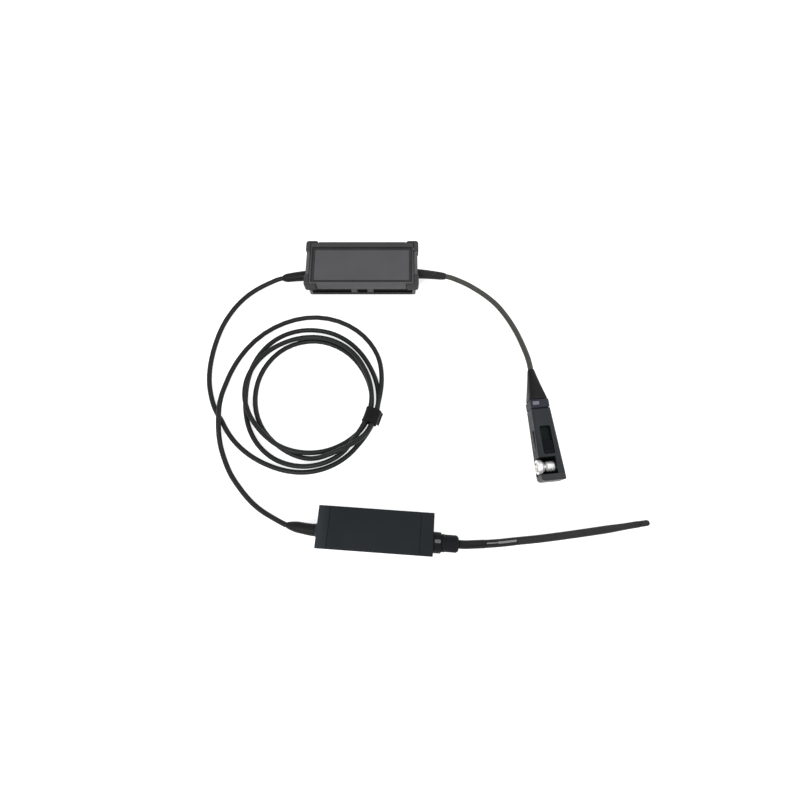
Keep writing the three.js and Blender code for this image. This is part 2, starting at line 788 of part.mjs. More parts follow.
function buildHead() {
  const group = new THREE.Group();
  group.position.set(headPlace[0], headPlace[1], 0);
  group.rotation.z = radians(headTurn);
  add(group, 'head_sleeve', headSleeve(), materials.headBlack);
  add(group, 'head_cap_left', headCap(-1), materials.headBlack);
  add(group, 'head_cap_right', headCap(1), materials.headBlack);
  const flangeFace = exitBossLength + 3.2 + 2 * fit;
  const relief = strainRelief(headReliefCurve(), headReliefRadius, headReliefTipRadius, flangeFace);
  add(group, 'head_relief', relief, materials.black);
  const boardStart = sleeveStart + spigotLength + 1;
  const boardEnd = sleeveEnd - spigotLength - 1;
  const board = block(
    [boardStart, -headBoardWidth / 2, headBoardHeight],
    [boardEnd, headBoardWidth / 2, headBoardHeight + boardThickness],
  );
  add(group, 'head_board', board, materials.board);
  const opticBottom = headBoardHeight + boardThickness + fit;
  const optic = block([boardStart + 8, -9, opticBottom], [boardStart + 32, 4, opticBottom + 6], 1);
  add(group, 'head_optical_module', optic, materials.steel);
  add(group, 'head_jack', headJack(), materials.gold);
  add(group, 'head_index_ring', indexRing(), materials.black);
  add(group, 'head_index_mark', indexMark(), materials.mark);
  [-1, 1].forEach((side) => {
    railPlaces.forEach((y, i) => {
      const screw = capScrew(14);
      screw.rotateY(side < 0 ? Math.PI / 2 : -Math.PI / 2);
      screw.translate((side * headLength) / 2 - side * (screwSeat - fit), y, railHeight);
      add(group, `head_screw_${side < 0 ? 'left' : 'right'}_${i + 1}`, screw, materials.steel);
    });
  });
  add(group, 'coupling_nut', couplingNut(), materials.black);
  add(group, 'tip_ferrule', tipFerrule(), materials.nickel);
  return group;
}

// ---- Tip lead --------------------------------------------------------------------------------

const onHead = (x, y, z) => {
  const turn = radians(headTurn);
  return [
    headPlace[0] + x * Math.cos(turn) - y * Math.sin(turn),
    headPlace[1] + x * Math.sin(turn) + y * Math.cos(turn),
    z,
  ];
};

const tipRest = longSleeveRadius + 2 * groundClearance;
const tipRoute = [
  onHead(ferruleEnd + fit, headAxisSide, jackHeight),
  onHead(nutEnd + 5, headAxisSide, jackHeight - 0.3),
  onHead(nutEnd + 14, headAxisSide + 0.8, jackHeight - 2),
  [117.9, -279.7, 6.9],
  [130.7, -278.9, 5],
  [146.3, -277.3, tipRest],
  [166, -275.4, tipRest],
  [185.8, -273, tipRest],
  [213.5, -269.3, tipRest],
  [240.5, -265.4, tipRest],
  [254.5, -263.2, tipRest],
  [268.2, -261.2, tipRest],
];

function buildTip() {
  const group = new THREE.Group();
  const curve = curveThrough(tipRoute);
  const length = curve.getLength();
  const boreRadius = tipCableDiameter / 2 + sleeveSlack;
  const connectorStart = length - tipConnectorLength;
  const labelStart = tipBootLength + fit;
  const nutGap = nutEnd - ferruleEnd;
  const longStart = labelStart + labelSleeveLength + fit;
  const longEnd = connectorStart - fit;
  const cableSteps = Math.round(length / 6);
  add(
    group,
    'tip_cable',
    cord(stretch(curve, 0, connectorStart - fit), tipCableDiameter, 8, cableSteps),
    materials.cable,
  );

  const sleeve = (from, to, radiusAt, steps) => {
    const outer = swept(stretch(curve, from, to), radiusAt, steps, 12);
    const hole = stretch(curve, Math.max(from - 1, 0), Math.min(to + 1, length));
    return cut(outer, swept(hole, () => boreRadius, steps, 8));
  };
  add(group, 'tip_boot', sleeve(nutGap, tipBootLength, () => tipBootRadius, 6), materials.black);
  const labelEnd = longStart - fit;
  add(group, 'tip_label_sleeve', sleeve(labelStart, labelEnd, () => labelSleeveRadius, 6), materials.sleeve);
  const longTaper = (s) => {
    const narrowing = Math.min(1, Math.max(0, (s - 0.74) / 0.16));
    return longSleeveRadius + (longSleeveEndRadius - longSleeveRadius) * narrowing;
  };
  add(group, 'tip_long_sleeve', sleeve(longStart, longEnd, longTaper, 18), materials.black);

  const tipCurve = stretch(curve, connectorStart, length);
  const shell = swept(tipCurve, (s) => tipConnectorRadius - 0.5 * Math.max(0, (s - 0.8) / 0.2), 5, 12);
  const socket = swept(stretch(curve, length - 4, length), () => 1.3, 1, 12);
  const opening = socket.clone().translate(...curve.getTangentAt(1).multiplyScalar(1.5).toArray());
  add(group, 'tip_connector', cut(shell, socket, opening), materials.black);
  const pin = swept(stretch(curve, length - 3.8, length - 0.8), () => tipPinRadius, 1, 8);
  add(group, 'tip_pin', pin, materials.gold);
  return group;
}

// ---- Scope plug ------------------------------------------------------------------------------

const plugMid = plugHeight / 2;
const collarStart = bootLength + fit;
const collarEnd = collarStart + collarLength;
const bodyStart = collarEnd + fit;
const bayEnd = plugLength - noseThickness;
const bayStart = bayEnd - 2 * bayonetRadius - 2 * fit - 1.4;
const bayMid = (bayStart + bayEnd) / 2;
const slotEnd = bayStart - slotFromBay;
const slotLength = sliderLength + sliderTravel + 4 * fit;
const slotStart = slotEnd - slotLength;
const pocketFloor = plugHeight - slotDepth;
const cavityTop = pocketFloor - 1.6;
const plugHalf = (x) =>
  (plugRearWidth + ((plugNoseWidth - plugRearWidth) * (x - bodyStart)) / (plugLength - bodyStart)) / 2;
const ringMouth = -plugHalf(bayMid) - bayonetProud;
const ringBack = ringMouth + bayonetLength;
const neckEnd = ringBack + bodyNeckLength;
const blockEnd = neckEnd + bodyBlockLength;
const contactMid = slotStart + slotLength / 2;
const contactPlaces = Array.from(
  { length: contactCount },
  (_, i) => contactMid + (i - (contactCount - 1) / 2) * contactPitch,
);
const plugScrewPlaces = [
  [bodyStart + 7, 0],
  [bayStart - 4.6, 5.6],
];

function plugBody() {
  const plan = new THREE.Shape();
  const rear = plugHalf(bodyStart);
  const nose = plugHalf(plugLength);
  const round = 4;
  plan.moveTo(bodyStart, -rear).lineTo(plugLength - round, -nose);
  plan.quadraticCurveTo(plugLength, -nose, plugLength, -nose + round);
  plan.lineTo(plugLength, nose - 1.5).quadraticCurveTo(plugLength, nose, plugLength - 1.5, nose);
  plan.lineTo(bodyStart, rear);
  return raised(plan, plugHeight, 1.2, 4);
}

function plugCavity() {
  const room = plugHalf(bodyStart) - plugWall;
  return block([bodyStart + plugWall, -room, plugWall], [bayStart - plugWall, room, cavityTop], 1);
}

function bay(floor) {
  return block([bayStart, -plugNoseWidth, floor], [bayEnd, blockEnd + fit, plugHeight + 1]);
}

const connectorHole = () =>
  rod(bodyNeckRadius + fit, neckEnd, blockEnd + 3, 16).translate(bayMid, 0, plugMid);

function contactRoom(grow) {
  const half = (contactCount * contactPitch) / 2 + grow;
  const front = -plugHalf(contactMid) - 0.6;
  return block(
    [contactMid - half, front - 2 * grow, plugMid - contactBlockHeight / 2 - grow],
    [contactMid + half, front + contactBlockDepth + 0.6 + grow, plugMid + contactBlockHeight / 2 + grow],
  );
}

function plugUpperShell() {
  const part = block([0, -plugNoseWidth, plugMid + fit / 2], [plugLength + 1, plugNoseWidth, plugHeight + 1]);
  const shell = cut(common(plugBody(), part), plugCavity());
  const half = slotWidth / 2;
  const pocket = block([slotStart, -half, pocketFloor], [slotEnd, half, plugHeight + 1], slotCorner);
  const undercut = block(
    [slotStart, -half - slotLip, pocketFloor],
    [slotEnd, half + slotLip, pocketFloor + sliderFlange + 2 * fit],
    slotCorner,
  );
  const bosses = plugScrewPlaces.map(([x, y]) =>
    alongZ(rod(3, plugMid + fit / 2, cavityTop + 0.5, 14)).translate(x, y, 0),
  );
  const bores = plugScrewPlaces.map(([x, y]) =>
    alongZ(rod(screwShankRadius + fit, plugMid - 1, cavityTop - 0.6, 12)).translate(x, y, 0),
  );
  const hollowed = join(cut(shell, pocket, undercut), ...bosses);
  return cut(hollowed, ...bores, bay(0), connectorHole(), contactRoom(fit));
}

function plugLowerShell() {
  const part = block([0, -plugNoseWidth, -1], [plugLength + 1, plugNoseWidth, plugMid - fit / 2]);
  const shell = cut(common(plugBody(), part), plugCavity());
  const posts = plugScrewPlaces.map(([x, y]) =>
    alongZ(rod(3.4, 1, plugMid - fit / 2, 14)).translate(x, y, 0),
  );
  const bores = plugScrewPlaces.flatMap(([x, y]) => [
    alongZ(rod(screwShankRadius + fit, -1, plugMid + 1, 12)).translate(x, y, 0),
    alongZ(rod(screwHeadRadius + fit, -1, screwSeat, 14)).translate(x, y, 0),
  ]);
  return cut(join(shell, ...posts), ...bores, bay(bayFloor), connectorHole(), contactRoom(fit));
}

function plugBoot() {
  const widthAt = (s) => 2 * bootTipRadius + (collarWidth - 0.8 - 2 * bootTipRadius) * s;
  const heightAt = (s) => 2 * bootTipRadius + (plugHeight - 1 - 2 * bootTipRadius) * s;
  const stations = [0.02, 0.1, 0.25, 0.45, 0.65, 0.85, 0.96, 1];
  const sections = stations.map((s) => [bootLength * s, widthAt(s), heightAt(s)]);
  sections.unshift([0, 2 * bootTipRadius - 0.8, 2 * bootTipRadius - 0.8]);
  return lofted(sections, plugMid, 3.2, 20);
}

function plugCollar() {
  const ring = block([collarStart, -collarWidth / 2, 0], [collarEnd, collarWidth / 2, plugHeight], 1.6, 1);
  return cut(ring, windowPane(fit));
}

function windowPane(grow) {
  return block(
    [collarStart + 2.4 - grow, -collarWidth / 2 + 1.8 - grow, plugHeight - 1.4 - grow],
    [collarStart + 6 + grow, -collarWidth / 2 + 8.4 + grow, plugHeight + (grow > 0 ? 1 : 0.1)],
    1,
  );
}

function plugSlider() {
  const low = slotEnd - fit - sliderLength;
  const pad = block(
    [low, -slotWidth / 2 + fit, pocketFloor + fit],
    [slotEnd - fit, slotWidth / 2 - fit, plugHeight - 0.3],
    slotCorner,
    0.4,
  );
  const grooves = [0, 1, 2, 3].map((i) =>
    block(
      [low + 2 + i * 2, -slotWidth / 2, plugHeight - 0.9],
      [low + 2.8 + i * 2, slotWidth / 2, plugHeight + 1],
    ),
  );
  const flange = block(
    [low + 0.4, -slotWidth / 2 - slotLip + fit, pocketFloor + fit],
    [slotEnd - fit - 0.4, slotWidth / 2 + slotLip - fit, pocketFloor + fit + sliderFlange],
    slotCorner,
  );
  return join(cut(pad, ...grooves), flange);
}

function bayonetBody() {
  const barrel = 4;
  const profile = [
    [0, ringBack - 3.4],
    [3, ringBack - 3.4],
    [3, ringMouth + 1],
    [barrel, ringMouth + 1],
    [barrel, ringBack - 1.6],
    [bodyNeckRadius, ringBack - 1.6],
    [bodyNeckRadius, neckEnd],
    [bodyBlockRadius - 1.6, neckEnd],
    [bodyBlockRadius, neckEnd + 1.2],
    [bodyBlockRadius, neckEnd + 5],
    [bodyBlockRadius - 0.5, neckEnd + 5.3],
    [bodyBlockRadius, neckEnd + 5.6],
    [bodyBlockRadius, blockEnd],
    [bodyNeckRadius, blockEnd],
    [bodyNeckRadius, blockEnd + 2.6],
    [0, blockEnd + 2.6],
  ];
  return turned(profile, 16).translate(bayMid, 0, plugMid);
}

function bayonetRing() {
  const bore = bodyNeckRadius + fit;
  const profile = [
    [bore, ringBack - 1.3],
    [4 + 0.6, ringBack - 1.3],
    [4 + 0.6, ringMouth],
    [bayonetRadius - 0.6, ringMouth],
    [bayonetRadius, ringMouth + 0.6],
    [bayonetRadius, ringBack - 2.6],
    [bayonetRadius - 0.5, ringBack - 2.2],
    [bodyNeckRadius + 2.2, ringBack],
    [bore, ringBack],
    [bore, ringBack - 1.3],
  ];
  const ring = turned(profile, 24);
  const slots = [0, Math.PI].map((turn) =>
    block([-0.9, ringMouth - 1, 3], [0.9, ringMouth + 3.4, bayonetRadius + 1]).rotateY(turn + 0.8),
  );
  return cut(ring, ...slots).translate(bayMid, 0, plugMid);
}

function bayonetPin() {
  const from = ringMouth + 2;
  const profile = [
    [0, ringBack - 3.7],
    [2.2, ringBack - 3.7],
    [2.2, ringBack - 4.6],
    [0.65, ringBack - 4.6],
    [0.65, from + 0.4],
    [0.3, from],
    [0, from],
  ];
  return turned(profile.reverse(), 16).translate(bayMid, 0, plugMid);
}

function contactBlock() {
  const holes = contactPlaces.map((x) =>
    rod(contactRadius + fit, -plugNoseWidth, plugNoseWidth, 12).translate(x, 0, plugMid),
  );
  return cut(contactRoom(0), ...holes);
}

function contactPin(x) {
  const face = -plugHalf(contactMid) - 0.6;
  const back = face + contactBlockDepth + 0.6 + fit;
  const profile = [
    [0, face - contactProud],
    [contactRadius * 0.6, face - contactProud],
    [contactRadius, face - contactProud + 0.4],
    [contactRadius, back],
    [contactRadius + 0.7, back],
    [contactRadius + 0.7, back + 0.8],
    [0, back + 0.8],
  ];
  return turned(profile, 12).translate(x, 0, plugMid);
}

function buildPlug() {
  const group = new THREE.Group();
  group.position.set(plugPlace[0], plugPlace[1], 0);
  group.rotation.z = radians(plugTurn);
  add(group, 'plug_boot', plugBoot(), materials.black);
  add(group, 'plug_collar', plugCollar(), materials.collar);
  add(group, 'plug_window', windowPane(0), materials.window);
  add(group, 'plug_upper_shell', plugUpperShell(), materials.plug);
  add(group, 'plug_lower_shell', plugLowerShell(), materials.plug);
  add(group, 'plug_slider', plugSlider(), materials.black);
  add(group, 'bayonet_body', bayonetBody(), materials.nickel);
  add(group, 'bayonet_ring', bayonetRing(), materials.nickel);
  add(group, 'bayonet_pin', bayonetPin(), materials.gold);
  add(group, 'contact_block', contactBlock(), materials.black);
  contactPlaces.forEach((x, i) => add(group, `contact_pin_${i + 1}`, contactPin(x), materials.gold));
  const board = block(
    [plugScrewPlaces[0][0] + 4.4, -plugHalf(bodyStart) + plugWall + 4, 3.4],
    [plugScrewPlaces[1][0] - 4.4, plugHalf(bodyStart) - plugWall - fit, 3.4 + boardThickness],
  );
  add(group, 'plug_board', board, materials.board);
  plugScrewPlaces.forEach(([x, y], i) => {
    const screw = capScrew(cavityTop - 0.6 - screwSeat - fit).translate(x, y, screwSeat - fit);
    add(group, `plug_screw_${i + 1}`, screw, materials.steel);
  });
  return group;
}

// ---- Cords -----------------------------------------------------------------------------------

const floorRest = cableDiameter / 2 + groundClearance;
const upperRest = floorRest + cableDiameter + 0.6;
const tieLow = tieThickness + cableDiameter / 2 + 0.5;
const tieHigh = tieLow + cableDiameter + 0.6;

// The coil's route: degrees round its centre, distance from it, and height.
const coilRoute = [
  [198, 89.8, floorRest],
  [210, 86, floorRest],
  [225, 81.5, floorRest],
  [240, 78, floorRest],
  [255, 76, floorRest],
  [270, 74.4, floorRest],
  [285, 72.4, floorRest],
  [300, 70, floorRest],
  [315, 67.4, floorRest + 0.4],
  [330, 66.6, tieLow],
  [341, 66.4, tieLow],
  [352, 66.3, tieLow],
  [368, 65.8, floorRest + 0.2],
  [390, 65.6, floorRest],
  [405, 67, floorRest],
  [420, 69.2, floorRest],
  [435, 71.6, floorRest],
  [450, 73.4, floorRest],
  [465, 75, floorRest],
  [480, 75.4, floorRest],
  [495, 74, floorRest],
  [510, 71.2, floorRest],
  [525, 68.4, floorRest],
  [540, 66.5, floorRest],
  [555, 66.6, floorRest],
  [570, 67.9, floorRest],
  [585, 69.2, floorRest],
  [600, 70, floorRest + 0.6],
  [615, 70, floorRest + 2.6],
  [630, 69.6, upperRest - 1],
  [645, 68.2, upperRest],
  [660, 65.6, upperRest],
  [672, 62, upperRest + 0.6],
  [685, 60.3, tieHigh],
  [701, 60, tieHigh],
  [714, 59.8, tieHigh],
  [730, 59.2, upperRest + 0.4],
  [750, 59.2, upperRest],
  [765, 60.4, upperRest],
  [780, 61.5, upperRest],
  [795, 62.4, upperRest],
  [810, 63.2, upperRest],
  [825, 64, upperRest],
  [840, 65, upperRest],
  [855, 66.4, upperRest],
  [870, 67.4, upperRest],
  [885, 67.4, upperRest],
  [900, 65.8, upperRest],
  [915, 62.8, upperRest],
  [930, 59.8, upperRest],
  [945, 58, upperRest],
  [960, 57.4, upperRest],
  [975, 56.8, upperRest - 0.6],
  [990, 56.4, upperRest - 2.6],
  [1005, 56.4, floorRest + 0.6],
  [1020, 57, floorRest],
  [1035, 58.4, floorRest + 0.4],
  [1047, 59.8, tieLow],
  [1061, 60.2, tieLow],
  [1074, 59.8, tieLow],
  [1090, 58.6, floorRest + 0.2],
  [1110, 57.6, floorRest],
  [1140, 58.8, floorRest],
  [1170, 61, floorRest],
  [1200, 61.3, floorRest],
  [1230, 59.1, floorRest],
  [1260, 56.9, floorRest],
  [1290, 56.6, floorRest],
  [1320, 57.7, floorRest],
  [1335, 59.6, floorRest],
  [1350, 61.6, floorRest + 1],
  [1360, 62.2, floorRest + 4.2],
  [1370, 62.3, upperRest + 2.6],
  [1380, 63, upperRest + 5.2],
  [1388, 64.4, upperRest + 5.6],
  [1397, 66.2, tieHigh + 3.4],
  [1405, 66.8, tieHigh + 0.4],
  [1421, 66.6, tieHigh],
  [1434, 66.8, tieHigh - 0.2],
  [1446, 69, upperRest - 0.6],
  [1460, 73.2, floorRest + 2.2],
  [1475, 78.6, floorRest + 0.2],
  [1500, 84.6, floorRest],
  [1530, 88.4, floorRest],
  [1560, 88.4, floorRest],
  [1590, 87.8, floorRest],
  [1600, 88, floorRest],
];

function coilPoints() {
  const stations = curveThrough(coilRoute);
  const perTurn = 36;
  const turns = (coilRoute.at(-1)[0] - coilRoute[0][0]) / 360;
  const count = Math.round(perTurn * turns);
  const points = [];
  for (let i = 0; i <= count; i += 1) {
    const at = stations.getPoint(i / count);
    const angle = radians(at.x);
    points.push([coilCentre[0] + at.y * Math.cos(angle), coilCentre[1] + at.y * Math.sin(angle), at.z]);
  }
  return points;
}

// The least gap between two stretches of one cord, apart from neighbours along it.
function leastGap(curve, diameter) {
  const count = 1600;
  const points = curve.getSpacedPoints(count);
  const step = curve.getLength() / count;
  const skip = Math.ceil((4 * diameter) / step);
  let least = Infinity;
  for (let i = 0; i < points.length; i += 1) {
    for (let j = i + skip; j < points.length; j += 1) {
      least = Math.min(least, points[i].distanceTo(points[j]));
    }
  }
  return least - diameter;
}

const ends = (from, to) => [
  [from.x, from.y, from.z],
  [to.x, to.y, to.z],
];

function straightOn(curve, t, distance) {
  const along = curve.getTangentAt(t);
  return curve.getPointAt(t).addScaledVector(along, distance);
}

// A cord's first two points, straight out of a receiver relief.
function fromRelief(side) {
  const curve = receiverReliefCurve(side);
  return ends(straightOn(curve, 1, fit), straightOn(curve, 1, 5));
}

function buildCords() {
  const group = new THREE.Group();
  const coil = curveThrough(coilPoints());
  add(group, 'cable_coil', cord(coil, cableDiameter, 8, 144), materials.cable);
  const coilGap = leastGap(coil, cableDiameter);
  console.log(`coil: length ${coil.getLength().toFixed(0)} mm, least gap ${coilGap.toFixed(2)} mm`);

  const leadIn = curveThrough([
    ...fromRelief(-1),
    [-99.1, -12.6, 6.6],
    [-108, -16.4, 5.2],
    [-119, -22.8, 3.6],
    [-128.3, -30.7, floorRest],
    [-137.4, -43.8, floorRest],
    [-146, -61.9, floorRest],
    [-150.8, -80.9, floorRest],
    [-153.2, -99.2, floorRest],
    [-153.2, -117.4, floorRest],
    [-151.2, -130.2, floorRest],
    [-147.6, -141.8, floorRest],
    [-143.4, -152.4, floorRest],
    ...ends(straightOn(coil, 0, -cableDiameter), straightOn(coil, 0, -fit)),
  ]);
  add(group, 'cable_lead_in', cord(leadIn, cableDiameter), materials.cable);

  const headTip = headReliefCurve();
  const reliefPoint = headTip.getPointAt(1);
  const reliefAlong = headTip.getTangentAt(1);
  const offTip = (distance) => {
    const point = reliefPoint.clone().addScaledVector(reliefAlong, distance);
    return onHead(point.x, point.y, point.z);
  };
  const leadOut = curveThrough([
    ...ends(straightOn(coil, 1, fit), straightOn(coil, 1, cableDiameter)),
    [-135.4, -128, floorRest + 1.6],
    [-136.6, -139, upperRest - 1.2],
    [-137, -150, upperRest + 0.4],
    [-136.4, -161, upperRest + 0.4],
    [-135.8, -172, upperRest - 1.2],
    [-134.8, -183.5, floorRest + 1.4],
    [-132.5, -192.7, floorRest],
    [-128.7, -201, floorRest],
    [-124.2, -210.6, floorRest],
    [-119.9, -218.2, floorRest],
    [-114.1, -225.4, floorRest],
    [-105, -236.2, floorRest],
    onHead(-114.4, 14.6, floorRest + 0.1),
    onHead(-106.6, 9.9, 3.2),
    onHead(-98.3, 6.1, 4.8),
    onHead(-90.4, 3, 7),
    offTip(4),
    offTip(fit),
  ]);
  add(group, 'cable_lead_out', cord(leadOut, cableDiameter), materials.cable);

  const plugAngle = radians(plugTurn);
  const intoPlug = (distance) => [
    plugPlace[0] - distance * Math.cos(plugAngle),
    plugPlace[1] - distance * Math.sin(plugAngle),
    plugMid,
  ];
  const leadRest = leadDiameter / 2 + groundClearance;
  const scopeLead = curveThrough([
    ...fromRelief(1),
    [101.8, -10.1, 7.2],
    [110.4, -13.4, 6.1],
    [122.8, -20.3, 4.2],
    [135.4, -29.3, leadRest],
    [144.9, -39.9, leadRest],
    [154.4, -54.9, leadRest],
    [161.4, -69.8, leadRest + 0.6],
    [166.4, -86.1, 5.2],
    [168.9, -98, 7.8],
    intoPlug(7),
    intoPlug(fit),
  ]);
  add(group, 'scope_lead', cord(scopeLead, leadDiameter), materials.lead);
  console.log(
    `long cable ${(leadIn.getLength() + coil.getLength() + leadOut.getLength()).toFixed(0)} mm,` +
      ` scope lead ${scopeLead.getLength().toFixed(0)} mm`,
  );
  add(group, 'cable_tie', cableTie(), materials.tie);
  return group;
}

// A hook-and-loop strap round the bundle, with its loose end lapped outside.
function cableTie() {
  const loop = rectangle(tieWidth, tieHeight - 2 * groundClearance, 3);
  const innerHeight = tieHeight - 2 * groundClearance - 2 * tieThickness;
  const opening = rectangle(tieWidth - 2 * tieThickness, innerHeight, 2);
  loop.holes.push(opening);
  const band = raised(loop, tieLength, 0, 4).translate(0, 0, -tieLength / 2);
  const flap = block(
    [tieWidth / 2 - 0.6, tieHeight / 2 - 9, -tieLength / 2 + 0.8],
    [tieWidth / 2 + tieThickness, tieHeight / 2 - 1.6, tieLength / 2 - 0.8],
    0.5,
  );
  const tab = block([tieWidth / 2 + 0.2, -1.4, -5], [tieWidth / 2 + 3.4, 0, 4], 0.4);
  const strap = join(band, flap, tab);
  strap.rotateX(Math.PI / 2);
  strap.translate(tieRadius, 0, tieHeight / 2);
  return strap.rotateZ(radians(tieAngle)).translate(coilCentre[0], coilCentre[1], 0);
}

root.add(buildReceiver());
root.add(buildHead());
root.add(buildTip());
root.add(buildPlug());
root.add(buildCords());

export default root;
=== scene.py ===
"""Looks for an isolated oscilloscope probe, laid out on a bench.

A receiver box, a scope plug, a long coiled cable, a sensor head and a tip lead. Sizes typed here
are millimetres. Each unit is modelled in its own place and goes through a matrix to the model's
metres.
"""

import math

import bmesh
import bpy
from mathutils import Matrix, Vector, noise
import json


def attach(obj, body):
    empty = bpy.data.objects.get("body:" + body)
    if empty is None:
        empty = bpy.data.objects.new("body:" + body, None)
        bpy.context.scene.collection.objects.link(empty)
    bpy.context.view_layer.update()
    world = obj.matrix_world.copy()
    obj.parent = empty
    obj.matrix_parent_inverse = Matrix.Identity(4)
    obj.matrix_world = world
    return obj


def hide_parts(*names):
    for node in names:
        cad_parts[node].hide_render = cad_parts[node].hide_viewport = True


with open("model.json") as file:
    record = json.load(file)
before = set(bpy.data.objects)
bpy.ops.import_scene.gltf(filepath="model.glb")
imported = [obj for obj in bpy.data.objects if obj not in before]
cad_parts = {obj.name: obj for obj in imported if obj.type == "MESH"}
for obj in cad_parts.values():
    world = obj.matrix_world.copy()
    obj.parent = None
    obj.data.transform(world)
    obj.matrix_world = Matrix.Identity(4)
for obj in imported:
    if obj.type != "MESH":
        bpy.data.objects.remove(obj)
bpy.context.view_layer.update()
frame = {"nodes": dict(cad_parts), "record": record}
nodes = frame["nodes"]

MM = 0.001
ROOT = "probe"
FIT = 0.3  # clearance between seated pieces


# ---- Places ----


def place(x, y, turn):
    """The matrix from a unit's own millimetres to the model's metres."""
    return (
        Matrix.Translation((x * MM, y * MM, 0))
        @ Matrix.Rotation(math.radians(turn), 4, "Z")
        @ Matrix.Scale(MM, 4)
    )


BENCH = place(0, 0, 0)
HEAD = place(18.5, -268.4, -3.95)
PLUG = place(170.8, -113.4, -84.5)


# ---- Cord routes, in millimetres ----

CABLE = 4.8  # the cords' diameters
LEAD = 5.4
TIP_CABLE = 4.0
FLOOR_GAP = 0.1  # under a cord that lies on the floor
STRAND_GAP = 0.6  # between two layers of the coil
LEAD_FLOOR = LEAD / 2 + FLOOR_GAP
LOW = CABLE / 2 + FLOOR_GAP  # heights of the coil's two layers
HIGH = LOW + CABLE + STRAND_GAP
TIE_LOW = 4.0  # the layers' heights inside the tie
TIE_HIGH = TIE_LOW + CABLE + STRAND_GAP
TIP_FLOOR = 3.75  # height of the tip lead in its sleeves
COIL_CENTRE = (-47.5, -140.2)
TUCK = 2.0  # how far a cord runs on inside its relief
STEP = 2.0  # between the long cable's points

BASE_END = 56.9  # the receiver's wall where its reliefs start
RELIEF_BEND = -2.8
RELIEF_DROOP = -0.6
STRAIGHT_ROOT = 3
NECK_STEP = 1.8  # a relief's neck inside the wall, below its root
RELIEF_HEIGHT = 9.1
RELIEFS = {
    -1: {"side": -5.8, "length": 28.2, "root": 5.5, "tip": 4.3},
    1: {"side": -3.4, "length": 31.6, "root": 5.1, "tip": 3.8},
}
HEAD_RELIEF = {"side": -3.1, "start": -54.5, "length": 25.6, "root": 5.5, "tip": 4.6}
AXIS = -6.5  # the head's jack and nut beside its middle line
HEAD_MID = 11.0
PLUG_MID = 9.0
FERRULE_END = 73.4
NUT_START = 59.2
NUT_END = 74.2

# Degrees round the coil's centre, distance from it, and height.
COIL = [
    (198, 89.8, LOW), (210, 86, LOW), (225, 81.5, LOW), (240, 78, LOW), (255, 76, LOW),
    (270, 74.4, LOW), (285, 72.4, LOW), (300, 70, LOW), (315, 67.4, LOW + 0.4),
    (330, 66.6, TIE_LOW), (341, 66.4, TIE_LOW), (352, 66.3, TIE_LOW), (368, 65.8, LOW + 0.2),
    (390, 65.6, LOW), (405, 67, LOW), (420, 69.2, LOW), (435, 71.6, LOW), (450, 73.4, LOW),
    (465, 75, LOW), (480, 75.4, LOW), (495, 74, LOW), (510, 71.2, LOW), (525, 68.4, LOW),
    (540, 66.5, LOW), (555, 66.6, LOW), (570, 67.9, LOW), (585, 69.2, LOW), (600, 70, LOW + 0.6),
    (615, 70, LOW + 2.6), (630, 69.6, HIGH - 1), (645, 68.2, HIGH), (660, 65.6, HIGH),
    (672, 62, HIGH + 0.6), (685, 60.3, TIE_HIGH), (701, 60, TIE_HIGH), (714, 59.8, TIE_HIGH),
    (730, 59.2, HIGH + 0.4), (750, 59.2, HIGH), (765, 60.4, HIGH), (780, 61.5, HIGH),
    (795, 62.4, HIGH), (810, 63.2, HIGH), (825, 64, HIGH), (840, 65, HIGH), (855, 66.4, HIGH),
    (870, 67.4, HIGH), (885, 67.4, HIGH), (900, 65.8, HIGH), (915, 62.8, HIGH), (930, 59.8, HIGH),
    (945, 58, HIGH), (960, 57.4, HIGH), (975, 56.8, HIGH - 0.6), (990, 56.4, HIGH - 2.6),
    (1005, 56.4, LOW + 0.6), (1020, 57, LOW), (1035, 58.4, LOW + 0.4), (1047, 59.8, TIE_LOW),
    (1061, 60.2, TIE_LOW), (1074, 59.8, TIE_LOW), (1090, 58.6, LOW + 0.2), (1110, 57.6, LOW),
    (1140, 58.8, LOW), (1170, 61, LOW), (1200, 61.3, LOW), (1230, 59.1, LOW), (1260, 56.9, LOW),
    (1290, 56.6, LOW), (1320, 57.7, LOW), (1335, 59.6, LOW), (1350, 61.6, LOW + 1),
    (1360, 62.2, LOW + 4.2), (1370, 62.3, HIGH + 2.6), (1380, 63, HIGH + 5.2),
    (1388, 64.4, HIGH + 5.6), (1397, 66.2, TIE_HIGH + 3.4), (1405, 66.8, TIE_HIGH + 0.4),
    (1421, 66.6, TIE_HIGH), (1434, 66.8, TIE_HIGH - 0.2), (1446, 69, HIGH - 0.6),
    (1460, 73.2, LOW + 2.2), (1475, 78.6, LOW + 0.2), (1500, 84.6, LOW), (1530, 88.4, LOW),
    (1560, 88.4, LOW), (1590, 87.8, LOW), (1600, 88, LOW),
]


def knot_spans(points):
    """The spline's steps: the square root of each distance."""
    return [max((b - a).length ** 0.5, 1e-6) for a, b in zip(points, points[1:])]


